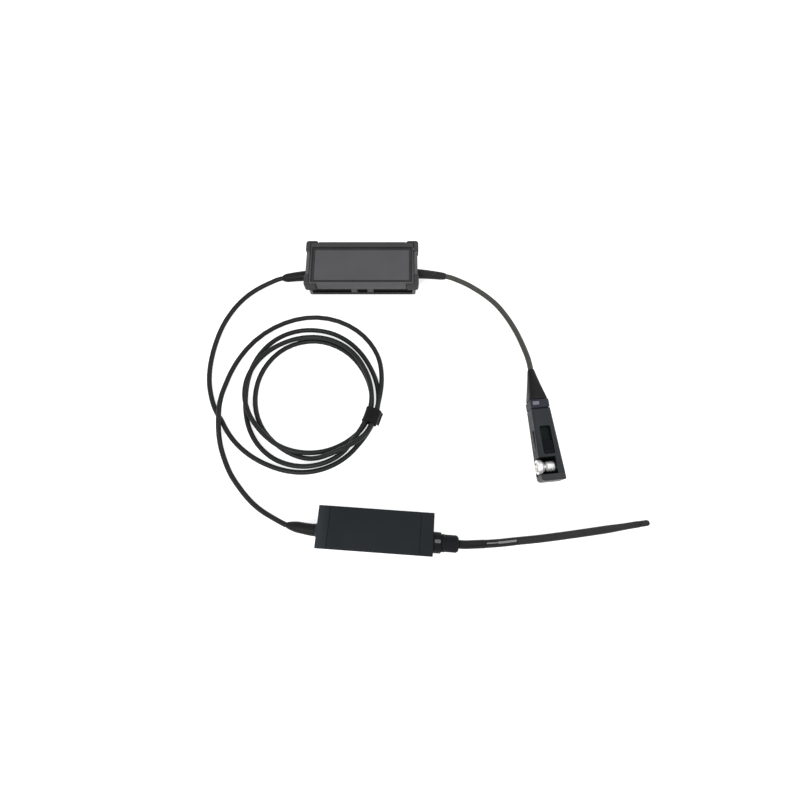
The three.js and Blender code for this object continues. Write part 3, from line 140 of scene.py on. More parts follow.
def curve_through(points, per_span):
    """Points along a centripetal spline through the given ones."""
    points = [Vector(p) for p in points]
    padded = [2 * points[0] - points[1]] + points + [2 * points[-1] - points[-2]]
    out = []
    for i in range(1, len(padded) - 2):
        p0, p1, p2, p3 = padded[i - 1:i + 3]
        d0, d1, d2 = knot_spans([p0, p1, p2, p3])
        m1 = ((p1 - p0) / d0 - (p2 - p0) / (d0 + d1) + (p2 - p1) / d1) * d1
        m2 = ((p2 - p1) / d1 - (p3 - p1) / (d1 + d2) + (p3 - p2) / d2) * d1
        for k in range(per_span):
            t = k / per_span
            a = (2 * t**3 - 3 * t**2 + 1) * p1 + (t**3 - 2 * t**2 + t) * m1
            b = (-2 * t**3 + 3 * t**2) * p2 + (t**3 - t**2) * m2
            out.append(a + b)
    out.append(points[-1])
    return out


def clamped(value):
    """The value, or 0 or 1 where it lies beyond them."""
    return min(1.0, max(0.0, value))


def lengths_along(points):
    """The distance to each point along the line."""
    total = [0.0]
    for a, b in zip(points, points[1:]):
        total.append(total[-1] + (b - a).length)
    return total


def point_at(points, total, distance):
    """The point a given distance along."""
    distance = min(max(distance, 0.0), total[-1])
    for i in range(len(points) - 1):
        if total[i + 1] >= distance:
            break
    return points[i].lerp(points[i + 1], (distance - total[i]) / (total[i + 1] - total[i]))


def part_of(points, start, end, step=0.5):
    """The stretch of a line between two distances along it, in even steps."""
    total = lengths_along(points)
    count = max(2, round((end - start) / step))
    return [point_at(points, total, start + (end - start) * i / count) for i in range(count + 1)]


def evenly(points, step):
    """The same line with even steps."""
    return part_of(points, 0, lengths_along(points)[-1], step)


def relaxed(points, step, rounds):
    """Even steps with the sideways wobbles smoothed out; heights and both ends stay."""
    points = evenly(points, step)
    for _ in range(rounds):
        sides = [p.xy for p in points]
        for i in range(3, len(points) - 3):
            points[i].xy = (sides[i - 1] + 2 * sides[i] + sides[i + 1]) / 4
    return points


def on_unit(unit, x, y, z):
    """A unit's own point in the bench's millimetres."""
    return unit @ Vector((x, y, z)) / MM


def coil_points():
    """The coil in the bench's millimetres, from its stations."""
    stations = curve_through(COIL, 8)
    points = []
    for station in stations[::2]:
        angle = math.radians(station.x)
        x = COIL_CENTRE[0] + station.y * math.cos(angle)
        y = COIL_CENTRE[1] + station.y * math.sin(angle)
        points.append(Vector((x, y, station.z)))
    return points


def straight_on(points, distance):
    """The point a distance beyond a line's end, or before it where the distance is negative."""
    along = (points[-1] - points[-2]).normalized()
    return points[-1] + along * distance


def relief_line(start, reach, middle, tip):
    """A relief's middle line from its root: straight at first, then bent.

    The reach runs along x, and middle and tip say how far the line has moved there, in y and z.
    """
    x, y, z = start
    return curve_through([
        start,
        (x + math.copysign(STRAIGHT_ROOT, reach), y, z),
        (x + reach * 0.5, y + middle[0], z + middle[1]),
        (x + reach, y + tip[0], z + tip[1]),
    ], 12)


def receiver_relief(side):
    """A relief's middle line: side is -1 for the left one and 1 for the right one."""
    relief = RELIEFS[side]
    start = (side * BASE_END, relief["side"], RELIEF_HEIGHT)
    middle = (RELIEF_BEND * 0.36, RELIEF_DROOP * 0.3)
    return relief_line(start, side * relief["length"], middle, (RELIEF_BEND, RELIEF_DROOP))


def head_relief():
    start = (HEAD_RELIEF["start"], HEAD_RELIEF["side"], HEAD_MID)
    return relief_line(start, -HEAD_RELIEF["length"], (1, -0.4), (2.6, -1.6))


def long_cable_points():
    """From the receiver into the coil and on to the head."""
    coil = coil_points()
    left = receiver_relief(-1)
    lead_in = [
        straight_on(left, -TUCK), straight_on(left, FIT), straight_on(left, 5),
        (-99.1, -12.6, 6.6), (-108, -16.4, 5.2), (-119, -22.8, 3.6),
        (-128.3, -30.7, LOW), (-137.4, -43.8, LOW), (-146, -61.9, LOW),
        (-150.8, -80.9, LOW), (-153.2, -99.2, LOW), (-153.2, -117.4, LOW),
        (-151.2, -130.2, LOW), (-147.6, -141.8, LOW), (-143.4, -152.4, LOW),
        straight_on(coil[::-1], CABLE),
    ]
    right = head_relief()
    lead_out = [
        straight_on(coil, CABLE), (-135.4, -128, LOW + 1.6), (-136.6, -139, HIGH - 1.2),
        (-137, -150, HIGH + 0.4), (-136.4, -161, HIGH + 0.4),
        (-135.8, -172, HIGH - 1.2), (-134.8, -183.5, LOW + 1.4),
        (-132.5, -192.7, LOW), (-128.7, -201, LOW), (-124.2, -210.6, LOW),
        (-119.9, -218.2, LOW), (-114.1, -225.4, LOW), (-105, -236.2, LOW),
        on_unit(HEAD, -114.4, 14.6, LOW + 0.1), on_unit(HEAD, -106.6, 9.9, 3.2),
        on_unit(HEAD, -98.3, 6.1, 4.8), on_unit(HEAD, -90.4, 3, 7),
        on_unit(HEAD, *straight_on(right, 4)), on_unit(HEAD, *straight_on(right, FIT)),
        on_unit(HEAD, *straight_on(right, -TUCK)),
    ]
    before = relaxed(curve_through(lead_in, 10), STEP, 20)
    after = relaxed(curve_through(lead_out, 10), STEP, 20)
    return evenly(before + coil + after, STEP)


def scope_lead_points():
    """From the receiver to the plug."""
    right = receiver_relief(1)
    route = [
        straight_on(right, -TUCK), straight_on(right, FIT), straight_on(right, 5),
        (101.8, -10.1, 7.2), (110.4, -13.4, 6.1), (122.8, -20.3, 4.2), (135.4, -29.3, LEAD_FLOOR),
        (144.9, -39.9, LEAD_FLOOR), (154.4, -54.9, LEAD_FLOOR), (161.4, -69.8, LEAD_FLOOR + 0.6),
        (166.4, -86.1, 5.2), (168.9, -98, 7.8),
        on_unit(PLUG, -7, 0, PLUG_MID), on_unit(PLUG, -FIT, 0, PLUG_MID),
        on_unit(PLUG, TUCK, 0, PLUG_MID),
    ]
    return relaxed(curve_through(route, 10), 1.5, 30)


def tip_points():
    """From the nut on the head to the lead's free end."""
    route = [
        on_unit(HEAD, FERRULE_END + FIT, AXIS, HEAD_MID),
        on_unit(HEAD, NUT_END + 5, AXIS, HEAD_MID - 0.3),
        on_unit(HEAD, NUT_END + 14, AXIS + 0.8, HEAD_MID - 2),
        (117.9, -279.7, 6.9), (130.7, -278.9, 5), (146.3, -277.3, TIP_FLOOR),
        (166, -275.4, TIP_FLOOR), (185.8, -273, TIP_FLOOR), (213.5, -269.3, TIP_FLOOR),
        (240.5, -265.4, TIP_FLOOR), (254.5, -263.2, TIP_FLOOR), (268.2, -261.2, TIP_FLOOR),
    ]
    return evenly(curve_through(route, 12), 1.0)


# ---- Camera, floor and light ----

VIEW_CENTRE = (42.5, -144.7)
VIEW_DISTANCE = 456
VIEW_TILT = 73  # degrees above the floor
SENSOR = 36
FRAME_WIDTH = 805  # pixels, each a millimetre wide at the view's centre
FLOOR_REACH = 6.0  # metres from the middle to an edge
FLOOR_GREY = 0.82
FLOOR_GLOW = 0.7
WORLD_LIGHT = 0.5
LAMP_TARGET = Vector((42.5, -140, 0)) * MM
WHITE = (1, 1, 1, 1)


def scene_object(name, data):
    """A new object in the scene."""
    obj = bpy.data.objects.new(name, data)
    bpy.context.scene.collection.objects.link(obj)
    return obj


def fill(tree, node, inputs):
    """Gives each input a value, or a link from another node's output."""
    for key, value in inputs.items():
        if isinstance(value, bpy.types.NodeSocket):
            tree.links.new(value, node.inputs[key])
        else:
            node.inputs[key].default_value = value


def add_node(tree, kind, inputs=None, operation=None):
    """A new shader node with some of its inputs given."""
    node = tree.nodes.new("ShaderNode" + kind)
    if operation:
        node.operation = operation
    fill(tree, node, inputs or {})
    return node


def add_camera():
    """A short-lens view from the front and high above, as in the photograph."""
    tilt = math.radians(VIEW_TILT)
    centre = Vector((*VIEW_CENTRE, 0)) * MM
    camera = bpy.data.cameras.new("camera")
    camera.sensor_width = SENSOR
    camera.lens = SENSOR * VIEW_DISTANCE / FRAME_WIDTH
    camera.clip_start = 0.01
    view = scene_object("camera", camera)
    away = Vector((0, -math.cos(tilt), math.sin(tilt)))
    view.location = centre + away * VIEW_DISTANCE * MM
    view.rotation_euler = (math.pi / 2 - tilt, 0, 0)
    bpy.context.scene.camera = view


def background_rays(tree):
    """1 for the rays that should see the plain white background."""
    path = add_node(tree, "LightPath")
    rays = path.outputs["Is Camera Ray"]
    for kind in ("Is Glossy Ray", "Is Transmission Ray"):
        rays = add_node(tree, "Math", {0: rays, 1: path.outputs[kind]}, "MAXIMUM").outputs[0]
    return rays


def add_floor():
    """White paper that keeps the object's shadow and looks plain white to the camera."""
    mesh = bpy.data.meshes.new("floor")
    turns = ((-1, -1), (1, -1), (1, 1), (-1, 1))
    corners = [(x * FLOOR_REACH, y * FLOOR_REACH, 0) for x, y in turns]
    mesh.from_pydata(corners, [], [(0, 1, 2, 3)])
    floor = scene_object("floor", mesh)
    material = bpy.data.materials.new("floor")
    material.use_nodes = True
    tree = material.node_tree
    tree.nodes.clear()
    paper = add_node(tree, "BsdfDiffuse", {"Color": (FLOOR_GREY, FLOOR_GREY, FLOOR_GREY, 1)})
    amount = add_node(tree, "Math", {0: background_rays(tree), 1: FLOOR_GLOW}, "MULTIPLY")
    glow = add_node(tree, "Emission", {"Color": WHITE, "Strength": amount.outputs[0]})
    both = add_node(tree, "AddShader", {0: paper.outputs[0], 1: glow.outputs[0]})
    add_node(tree, "OutputMaterial", {"Surface": both.outputs[0]})
    mesh.materials.append(material)


def add_world():
    """Soft light from all round, in front of plain white."""
    world = bpy.data.worlds.new("studio")
    bpy.context.scene.world = world
    world.use_nodes = True
    tree = world.node_tree
    tree.nodes.clear()
    soft = add_node(tree, "Background", {"Color": WHITE, "Strength": WORLD_LIGHT})
    white = add_node(tree, "Background", {"Color": WHITE, "Strength": 1.0})
    sides = {"Fac": background_rays(tree), 1: soft.outputs[0], 2: white.outputs[0]}
    mix = add_node(tree, "MixShader", sides)
    add_node(tree, "OutputWorld", {"Surface": mix.outputs[0]})


def add_lamp(name, location, size, power):
    """A square lamp that points at the layout: place and size in metres, power in watts."""
    lamp = bpy.data.lights.new(name, "AREA")
    lamp.shape = "SQUARE"
    lamp.size = size
    lamp.energy = power
    holder = scene_object(name, lamp)
    holder.location = location
    aim = LAMP_TARGET - Vector(location)
    holder.rotation_euler = aim.to_track_quat("-Z", "Y").to_euler()


bpy.context.scene.view_settings.view_transform = "Standard"
add_camera()
add_floor()
add_world()
add_lamp("key", (-0.5, -1.0, 1.3), 0.9, 13)
add_lamp("fill", (0.9, 0.3, 1.2), 0.8, 6)


# ---- Materials ----


def shade(colour, factor):
    """A darker or lighter version of a colour."""
    return tuple(min(1.0, c * factor) for c in colour)


class Look:
    """Builds one procedural material around a Principled shader."""

    def __init__(self, specular=0.5, roughness=0.5):
        self.material = bpy.data.materials.new("look")
        self.material.use_nodes = True
        self.tree = self.material.node_tree
        self.shader = self.tree.nodes["Principled BSDF"]
        fill(self.tree, self.shader, {"Specular IOR Level": specular, "Roughness": roughness})
        self.place = self.node("TexCoord").outputs["Object"]
        self.height = None

    def node(self, kind, inputs=None, operation=None):
        return add_node(self.tree, kind, inputs, operation)

    def noise(self, size, detail=3, roughness=0.5, stretch=(1, 1, 1)):
        """Noise whose features are about the given size in millimetres."""
        scale = [s / (size * MM) for s in stretch]
        place = self.node("Mapping", {"Vector": self.place, "Scale": scale}).outputs[0]
        rules = {"Vector": place, "Scale": 1, "Detail": detail, "Roughness": roughness}
        return self.node("TexNoise", rules).outputs["Fac"]

    def spread(self, value, low, high, start=0.3, end=0.7):
        """A value between start and end, spread over low to high."""
        rules = {"Value": value, "From Min": start, "From Max": end, "To Min": low, "To Max": high}
        return self.node("MapRange", rules).outputs[0]

    def along(self, axis, start, end):
        """0 to 1 between two places in millimetres along an axis of the model."""
        split = self.node("SeparateXYZ", {0: self.place})
        return self.spread(split.outputs[axis], 0, 1, start * MM, end * MM)

    def rubbed_and_highlit_edges(self, width):
        """1 along the edges and corners, where hands rub and where a highlight is painted, 0 on
        flat faces.
        """
        rounded = self.node("Bevel", {"Radius": width * MM})
        rounded.samples = 4
        normals = {0: rounded.outputs[0], 1: self.node("NewGeometry").outputs["Normal"]}
        agree = self.node("VectorMath", normals, "DOT_PRODUCT")
        return self.spread(agree.outputs["Value"], 1, 0, 0.8, 0.99)

    def mixed(self, factor, first, second):
        """A colour between two others, each a plain colour or another node's output."""
        mix = self.node("Mix")
        mix.data_type = "RGBA"
        first, second = ((*c, 1) if isinstance(c, tuple) else c for c in (first, second))
        fill(self.tree, mix, {"Factor": factor, 6: first, 7: second})
        return mix.outputs[2]

    def mottled(self, value, colour, dark, light, *window):
        """A colour that wanders between two factors of itself."""
        factor = self.spread(value, 0, 1, *window)
        return self.mixed(factor, shade(colour, dark), shade(colour, light))

    def link(self, value, socket):
        self.tree.links.new(value, self.shader.inputs[socket])

    def bump(self, value, depth, distance):
        """Adds relief of about the given depth, in millimetres, on top of what is there."""
        rules = {"Height": value, "Strength": depth, "Distance": distance * MM}
        if self.height is not None:
            rules["Normal"] = self.height
        node = self.node("Bump", rules)
        self.height = node.outputs[0]
        self.tree.links.new(self.height, self.shader.inputs["Normal"])


def moulded(
    colour, roughness=0.5, grain=0.45, specular=0.12, drift=0.1, rubbed_and_highlit=1.35, painted_light_ramp=None
):
    """Moulded plastic: fine spark grain, slow colour drift, handling marks, and lighter edges that
    are partly rubbed wear and partly a painted highlight.

    A painted light ramp is an axis, two places along it, and how much lighter the colour is at the
    second: painted light and shade, not the plastic's own colour.
    """
    look = Look(specular)
    plain = look.mottled(look.noise(26, 4), colour, 1 - drift, 1 + drift)
    # Painted light: the colour grows lighter along an axis, as if more light fell there.
    if painted_light_ramp:
        axis, start, end, gain = painted_light_ramp
        plain = look.mixed(look.along(axis, start, end), plain, shade(colour, gain))
    # Edges lighter than the flat faces: partly rubbed wear, partly a painted highlight.
    if rubbed_and_highlit > 1:
        plain = look.mixed(look.rubbed_and_highlit_edges(0.5), plain, shade(colour, rubbed_and_highlit))
    look.link(plain, "Base Color")
    marks = look.noise(9, 5, 0.6)
    look.link(look.spread(marks, roughness - 0.06, roughness + 0.07), "Roughness")
    look.bump(look.noise(grain, 2, 0.55), 0.3, 0.05)
    look.bump(look.noise(grain * 6, 2), 0.12, 0.05)
    return look.material


def rubber(colour, roughness=0.6, specular=0.15, dust=1.5):
    """Soft moulded rubber, a little dusty, with a slow ripple."""
    look = Look(specular)
    patches = look.noise(5, 6, 0.7)
    look.link(look.mottled(patches, colour, 1, dust, 0.45, 0.8), "Base Color")
    look.link(look.spread(look.noise(14, 4), roughness - 0.08, roughness + 0.08), "Roughness")
    look.bump(look.noise(0.5, 3), 0.22, 0.05)
    look.bump(look.noise(6, 2), 0.16, 0.1)
    return look.material


def jacket(colour, roughness=0.45, specular=0.2):
    """Extruded cable jacket: satin, faintly mottled, with a slow waver in its shine."""
    look = Look(specular)
    look.link(look.mottled(look.noise(3.5, 4, 0.6), colour, 0.85, 1.18), "Base Color")
    look.link(look.spread(look.noise(18, 3), roughness - 0.09, roughness + 0.1), "Roughness")
    look.bump(look.noise(0.6, 2), 0.18, 0.05)
    look.bump(look.noise(4, 2), 0.1, 0.12)
    return look.material


def metal(colour, roughness=0.28, metallic=1.0, worn=0.12):
    """Plated or turned metal with fine tool marks and duller patches."""
    look = Look()
    look.shader.inputs["Metallic"].default_value = metallic
    patch = look.noise(4, 4, 0.6)
    look.link(look.mottled(patch, colour, 0.88, 1.04), "Base Color")
    look.link(look.spread(patch, roughness - 0.05, roughness + worn), "Roughness")
    look.bump(look.noise(0.35, 2), 0.1, 0.03)
    return look.material


def woven(colour):
    """Hook-and-loop strap: a crossed weave under short fuzz."""
    look = Look(specular=0.1, roughness=0.95)
    look.shader.inputs["Sheen Weight"].default_value = 0.12
    look.shader.inputs["Sheen Roughness"].default_value = 0.5
    fuzz = look.noise(0.35, 5, 0.75)
    tuft = look.noise(1.6, 4, 0.7)
    look.link(look.mottled(tuft, colour, 0.7, 1.7), "Base Color")
    look.bump(fuzz, 0.8, 0.35)
    look.bump(tuft, 0.5, 0.4)
    return look.material


def solder_mask():
    """Solder mask over copper, with faint traces."""
    look = Look(roughness=0.35)
    traces = look.noise(2.2, 1, 0.3, (1, 6, 1))
    look.link(look.mottled(traces, (0.02, 0.1, 0.05), 0.6, 1, 0.48, 0.52), "Base Color")
    look.bump(traces, 0.2, 0.05)
    return look.material


LOOKS = {
    # The cover's charcoal: painted light, up to twice as light towards the front rail.
    "charcoal": moulded((0.048, 0.048, 0.05), specular=0.2, painted_light_ramp=("Y", 12, -24, 2.0)),
    "groove": moulded((0.045, 0.045, 0.046), 0.7, rubbed_and_highlit=1),
    "latch": moulded((0.075, 0.075, 0.078)),
    "lip": moulded((0.028, 0.028, 0.029)),
    "cheek": moulded((0.145, 0.145, 0.15)),
    # Near-black painted shade: the base's recess under the cover, and the sheets in the joints.
    "black": moulded((0.005, 0.005, 0.0055), 0.55, specular=0.06),
    "label": moulded((0.086, 0.084, 0.09), 0.46, grain=0.8, specular=0.2, drift=0.05),
    "bumper": rubber((0.093, 0.093, 0.095)),
    "pad": rubber((0.046, 0.046, 0.048)),
    "relief": rubber((0.0068, 0.0068, 0.0072), 0.48),
    # The right relief: the same rubber as the left, painted lighter as if more light fell on it,
    # with stronger dust patches.
    "dusty_relief": rubber((0.015, 0.015, 0.0155), 0.5, dust=2.2),
    # The head's plastic: painted light, lighter towards its left end.
    "head": moulded(
        (0.0135, 0.0168, 0.0195), grain=0.6, specular=0.09, rubbed_and_highlit=1.2, painted_light_ramp=("X", -22, -31, 1.9)
    ),
    "nut": moulded((0.0095, 0.01, 0.012), specular=0.08, rubbed_and_highlit=1.2),
    "mark": moulded((0.13, 0.135, 0.14), 0.45),
    "cable": jacket((0.0095, 0.0108, 0.0108)),
    "lead": jacket((0.056, 0.057, 0.051), 0.5),
    "label_sleeve": moulded((0.016, 0.016, 0.017), grain=0.7),
    "stripe": moulded((0.25, 0.25, 0.25), grain=0.7, rubbed_and_highlit=1),
    "long_sleeve": rubber((0.02, 0.02, 0.0205), 0.5),
    "plug": moulded((0.024, 0.027, 0.031), 0.45),
    # The nose: lighter than the body, a painted sheen.
    "nose": moulded((0.034, 0.035, 0.037), 0.4, grain=1.2, specular=0.15),
    # Inside the slot and the bay: near-black, painted shade in these recesses.
    "slot": moulded((0.005, 0.0085, 0.0078), specular=0.06, rubbed_and_highlit=1.2),
    "slider": moulded((0.0045, 0.0058, 0.0085), specular=0.06, rubbed_and_highlit=1.2),
    "collar": moulded((0.027, 0.0295, 0.04), 0.45),
    "window": moulded((0.15, 0.155, 0.2), 0.4, grain=1.5, specular=0.3),
    "nickel": metal((0.88, 0.88, 0.88), 0.35, metallic=0.55),
    "gold": metal((0.75, 0.56, 0.25), 0.24),
    "contact": metal((0.2, 0.17, 0.11), 0.45),
    "steel": metal((0.42, 0.42, 0.43), 0.35),
    "board": solder_mask(),
    "tie": woven((0.009, 0.009, 0.0095)),
}
for name, material in LOOKS.items():
    material.name = name


# ---- Mesh helpers ----

UP = Vector((0, 0, 1))
ALONG = Vector((1, 0, 0))
ACROSS = Vector((0, 1, 0))
SHARP = 38  # degrees; edges that turn more are sharp and get rounded
MERGE = 0.001  # points closer than this are one


def bare_mesh(name, bm):
    mesh = bpy.data.meshes.new(name)
    bmesh.ops.recalc_face_normals(bm, faces=bm.faces)
    bm.to_mesh(mesh)
    bm.free()
    return mesh


def add_piece(
    name, bm, unit, look, body=ROOT, instead=(), bevel=0.0, segments=2, choose=None
):
    """A finished piece from a mesh in its unit's millimetres, with its sharp edges softened.

    Where the piece has several looks, choose(centre, normal) says which one a face takes.
    slot is needed where its name isn't the look's.
    """
    if choose:
        bmesh.ops.recalc_face_normals(bm, faces=bm.faces)
        for face in bm.faces:
            face.material_index = choose(face.calc_center_median(), face.normal)
    mesh = bare_mesh(name, bm)
    mesh.transform(unit)
    mesh.polygons.foreach_set("use_smooth", [True] * len(mesh.polygons))
    mesh.set_sharp_from_angle(angle=math.radians(SHARP))
    obj = scene_object(name, mesh)
    if bevel:
        soften = obj.modifiers.new("soften", "BEVEL")
        soften.width = bevel * MM
        soften.segments = segments
        soften.limit_method = "ANGLE"
        soften.angle_limit = math.radians(SHARP)
        soften.harden_normals = True
    for one in [look] if isinstance(look, str) else look:
        mesh.materials.append(LOOKS[one])
    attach(obj, body)
    if instead:
        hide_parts(*instead)
    return obj


def stand_in(node, bm, unit, look, body=ROOT, bevel=0.0, choose=None):
    """A finer mesh in a node's place."""
    name = node + "_fine"
    return add_piece(name, bm, unit, look, body, [node], bevel, choose=choose)


def node_mesh(node):
    """A node's solid as a mesh in millimetres, its flat faces whole again."""
    bm = bmesh.new()
    bm.from_mesh(nodes[node].data)
    bmesh.ops.scale(bm, vec=(1 / MM,) * 3, verts=bm.verts)
    bmesh.ops.remove_doubles(bm, verts=bm.verts, dist=2 * MERGE)
    bmesh.ops.dissolve_limit(bm, angle_limit=math.radians(0.6), verts=bm.verts, edges=bm.edges)
    return bm


def split_across(bm, unit, places):
    """Cuts the faces along planes square to a unit's x axis, so that each side has its own look."""
    for x in places:
        bmesh.ops.bisect_plane(
            bm,
            geom=bm.verts[:] + bm.edges[:] + bm.faces[:],
            dist=MERGE,
            plane_co=on_unit(unit, x, 0, 0),
            plane_no=unit.to_3x3() @ ALONG / MM,
        )


def softened(
    node, look, body=ROOT, bevel=0.3, segments=2, choose=None, unit=BENCH, splits=()
):
    """A node's own shape with rounded edges."""
    bm = node_mesh(node)
    split_across(bm, unit, splits)
    name = node + "_soft"
    return add_piece(name, bm, BENCH, look, body, [node], bevel, segments, choose)


def loft(stations, sides=48, closed=False):
    """A skin through stations: a centre, a direction, and a radius or a rule for it by angle."""
    bm = bmesh.new()
    rings = []
    for centre, along, radius in stations:
        across = along.cross(UP if abs(along.z) < 0.9 else ALONG).normalized()
        lift = across.cross(along)
        ring = []
        for j in range(sides):
            angle = 2 * math.pi * j / sides
            reach = radius(angle) if callable(radius) else radius
            arm = across * math.cos(angle) + lift * math.sin(angle)
            ring.append(bm.verts.new(centre + arm * reach))
        rings.append(ring)
    pairs = list(zip(rings, rings[1:] + rings[:1]))
    for a, b in pairs if closed else pairs[:-1]:
        for j in range(sides):
            k = (j + 1) % sides
            bm.faces.new((a[j], a[k], b[k], b[j]))
    if not closed:
        bm.faces.new(rings[0])
        bm.faces.new(rings[-1])
    return bm


def on_axis(start, axis, profile):
    """Stations on a straight axis from (radius, distance) rows."""
    start = Vector(start)
    axis = Vector(axis).normalized()
    return [(start + axis * distance, axis, radius) for radius, distance in profile]


def stations_along(points, radius_at):
    """Stations on a line, with one radius or a rule for it by the distance along."""
    total = lengths_along(points)
    out = []
    for i, point in enumerate(points):
        before = points[max(i - 1, 0)]
        after = points[min(i + 1, len(points) - 1)]
        radius = radius_at(total[i]) if callable(radius_at) else radius_at
        out.append((point, (after - before).normalized(), radius))
    return out


def box_mesh(low, high):
    """A block between two corners."""
    bm = bmesh.new()
    bmesh.ops.create_cube(bm, size=1)
    bmesh.ops.scale(bm, vec=[b - a for a, b in zip(low, high)], verts=bm.verts)
    bmesh.ops.translate(bm, vec=[(a + b) / 2 for a, b in zip(low, high)], verts=bm.verts)
    return bm


def carved(bm, *cutters):
    """The first mesh with the others cut out of it."""
    base = scene_object("base", bare_mesh("base", bm))
    tools = [scene_object("tool", bare_mesh("tool", cutter)) for cutter in cutters]
    for tool in tools:
        cut = base.modifiers.new("cut", "BOOLEAN")
        cut.operation = "DIFFERENCE"
        cut.solver = "EXACT"
        cut.object = tool
    seen = base.evaluated_get(bpy.context.evaluated_depsgraph_get())
    out = bmesh.new()
    out.from_mesh(seen.to_mesh())
    seen.to_mesh_clear()
    for obj in [base] + tools:
        mesh = obj.data
        bpy.data.objects.remove(obj)
        bpy.data.meshes.remove(mesh)
    bmesh.ops.remove_doubles(out, verts=out.verts, dist=MERGE)
    return out


def rounded_tube(points, outer, bore, ease):
    """A tube along points with eased ends; outer is its radius, or a rule by the distance."""
    stations = stations_along(points, outer)
    first, last = stations[0], stations[-1]
    start = on_axis(first[0], first[1], [(bore, 0), (first[2] - ease, 0)])
    stations[0] = (first[0] + first[1] * ease, first[1], first[2])
    stations[-1] = (last[0] - last[1] * ease, last[1], last[2])
    end = on_axis(last[0], last[1], [(last[2] - ease, 0), (bore, 0)])
    inside = stations_along(points[1:-1], bore)[::-1]
    return loft(start + stations + end + inside, 48, closed=True)


# ---- Cords ----


def add_cord(name, points, diameter, look, instead):
    """A round cord along its points."""
    curve = bpy.data.curves.new(name, "CURVE")
    curve.dimensions = "3D"
    curve.bevel_depth = diameter / 2 * MM
    curve.bevel_resolution = 6
    curve.use_fill_caps = True
    spline = curve.splines.new("POLY")
    spline.points.add(len(points) - 1)
    for target, point in zip(spline.points, points):
        target.co = (*(point * MM), 1)
    spline.use_smooth = True
    curve.materials.append(LOOKS[look])
    obj = scene_object(name, curve)
    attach(obj, ROOT)
    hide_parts(*instead)


def build_cords(ties):
    cable = long_cable_points()
    stretches = ["cable_lead_in", "cable_coil", "cable_lead_out"]
    add_cord("long_cable", cable, CABLE, "cable", stretches)
    lead = scope_lead_points()
    add_cord("scope_cable", lead, LEAD, "lead", ["scope_lead"])


# ---- Reliefs ----

FLANGE_PROUD = 1.8
FLANGE_THICKNESS = 1.6
RELIEF_SLACK = 0.1  # round the cord
RECEIVER_WALL_DEPTH = 7.5  # from a relief's root to its flange, through the wall
HEAD_WALL_DEPTH = 6.6


def add_relief(node, unit, points, shape, cord, wall_depth, ease, look="relief"):
    """A tapered relief with the neck and flange that hold it.

    Over its last stretch, the ease, it is drawn in to its cord.
    """
    root, tip = shape["root"], shape["tip"]
    bore = cord / 2 + RELIEF_SLACK
    total = lengths_along(points)[-1]
    neck = root - NECK_STEP
    along = (points[1] - points[0]).normalized()
    ahead = (points[-1] - points[-2]).normalized()

    def radius_at(distance):
        left = max(0.0, 1 - (total - distance) / ease)
        return root + (tip - root) * distance / total - (tip - bore - 0.4) * left**1.6

    flange = neck + FLANGE_PROUD
    back = [
        (flange, -wall_depth - FLANGE_THICKNESS), (flange, -wall_depth), (neck, -wall_depth),
        (neck, 0),
    ]
    mouth = [(bore + 0.25, 0.02), (bore, -0.3), (bore, -TUCK - 0.4)]
    stations = on_axis(points[0], along, back) + stations_along(evenly(points, 0.6), radius_at)
    bm = loft(stations + on_axis(points[-1], ahead, mouth))
    stand_in(node, bm, unit, look, bevel=0.25)


# ---- Receiver ----

SHELL_TOP = 24.5
SHELL_BOTTOM = 14.9
POCKET = (52.5, 21.1, -1.7)  # half length, half depth, middle
POCKET_FLOOR = 22.4
CHEEK_START = 53.0
CHEEK_DEPTH = 2.2
RECESS_FLOOR = 5.0
BASE_SIDE = 23.4
PAD_START = 13.1  # the corner pads, from the middle
BUMPER_FACE = 55.9  # the bumpers' inner faces, from the middle
SCREW_PLACES = [(x, y) for x in (-38, 38) for y in (-12, 12)]
SCREW_SEAT = 2.3  # a screw head's seat below the face around it
SCREW_SOCKET = 1.13  # from the middle of its hexagon to a flat
CASE_SHANK = 16.7
NEAR = 0.1  # how far a face may lie from a place and still belong to it


def top_shell_region(centre, normal):
    """0 for the outside, 1 for the pocket round the label, 2 for the latch tongues."""
    beside = abs(centre.x) < POCKET[0] + NEAR and abs(centre.y - POCKET[2]) < POCKET[1] + NEAR
    if beside and POCKET_FLOOR - NEAR < centre.z < SHELL_TOP - NEAR / 2:
        return 1
    return 2 if centre.z < SHELL_BOTTOM + NEAR else 0


def base_shell_region(centre, normal):
    """0 for the recess and underside, near-black as painted shade, 1 for the lip, 2 for the cheeks
    at the corners.
    """
    outside = abs(centre.y) > BASE_SIDE - CHEEK_DEPTH
    if abs(centre.x) > CHEEK_START and outside and centre.z > 0.5:
        return 2
    return 1 if centre.z < RECESS_FLOOR - 0.3 and abs(normal.z) < 0.5 else 0


def bumper_region(centre, normal):
    """0 for the end bar, 1 for the corner pads."""
    return 1 if abs(centre.y) > PAD_START + NEAR else 0


def hexagon(angle):
    """The reach of a screw's socket from its middle."""
    return SCREW_SOCKET / math.cos((angle % (math.pi / 3)) - math.pi / 6)


def add_screw(node, unit, seat, outward, shank):
    """A cap screw with a hex socket: its head stands outward of the seat."""
    profile = [
        (hexagon, 1.0), (hexagon, 2.0), (2.3, 2.0), (2.6, 1.7), (2.6, 0), (1.3, 0),
        (1.3, -shank + 0.6), (0.9, -shank),
    ]
    stand_in(node, loft(on_axis(seat, outward, profile), 48), unit, "steel", bevel=0.1)


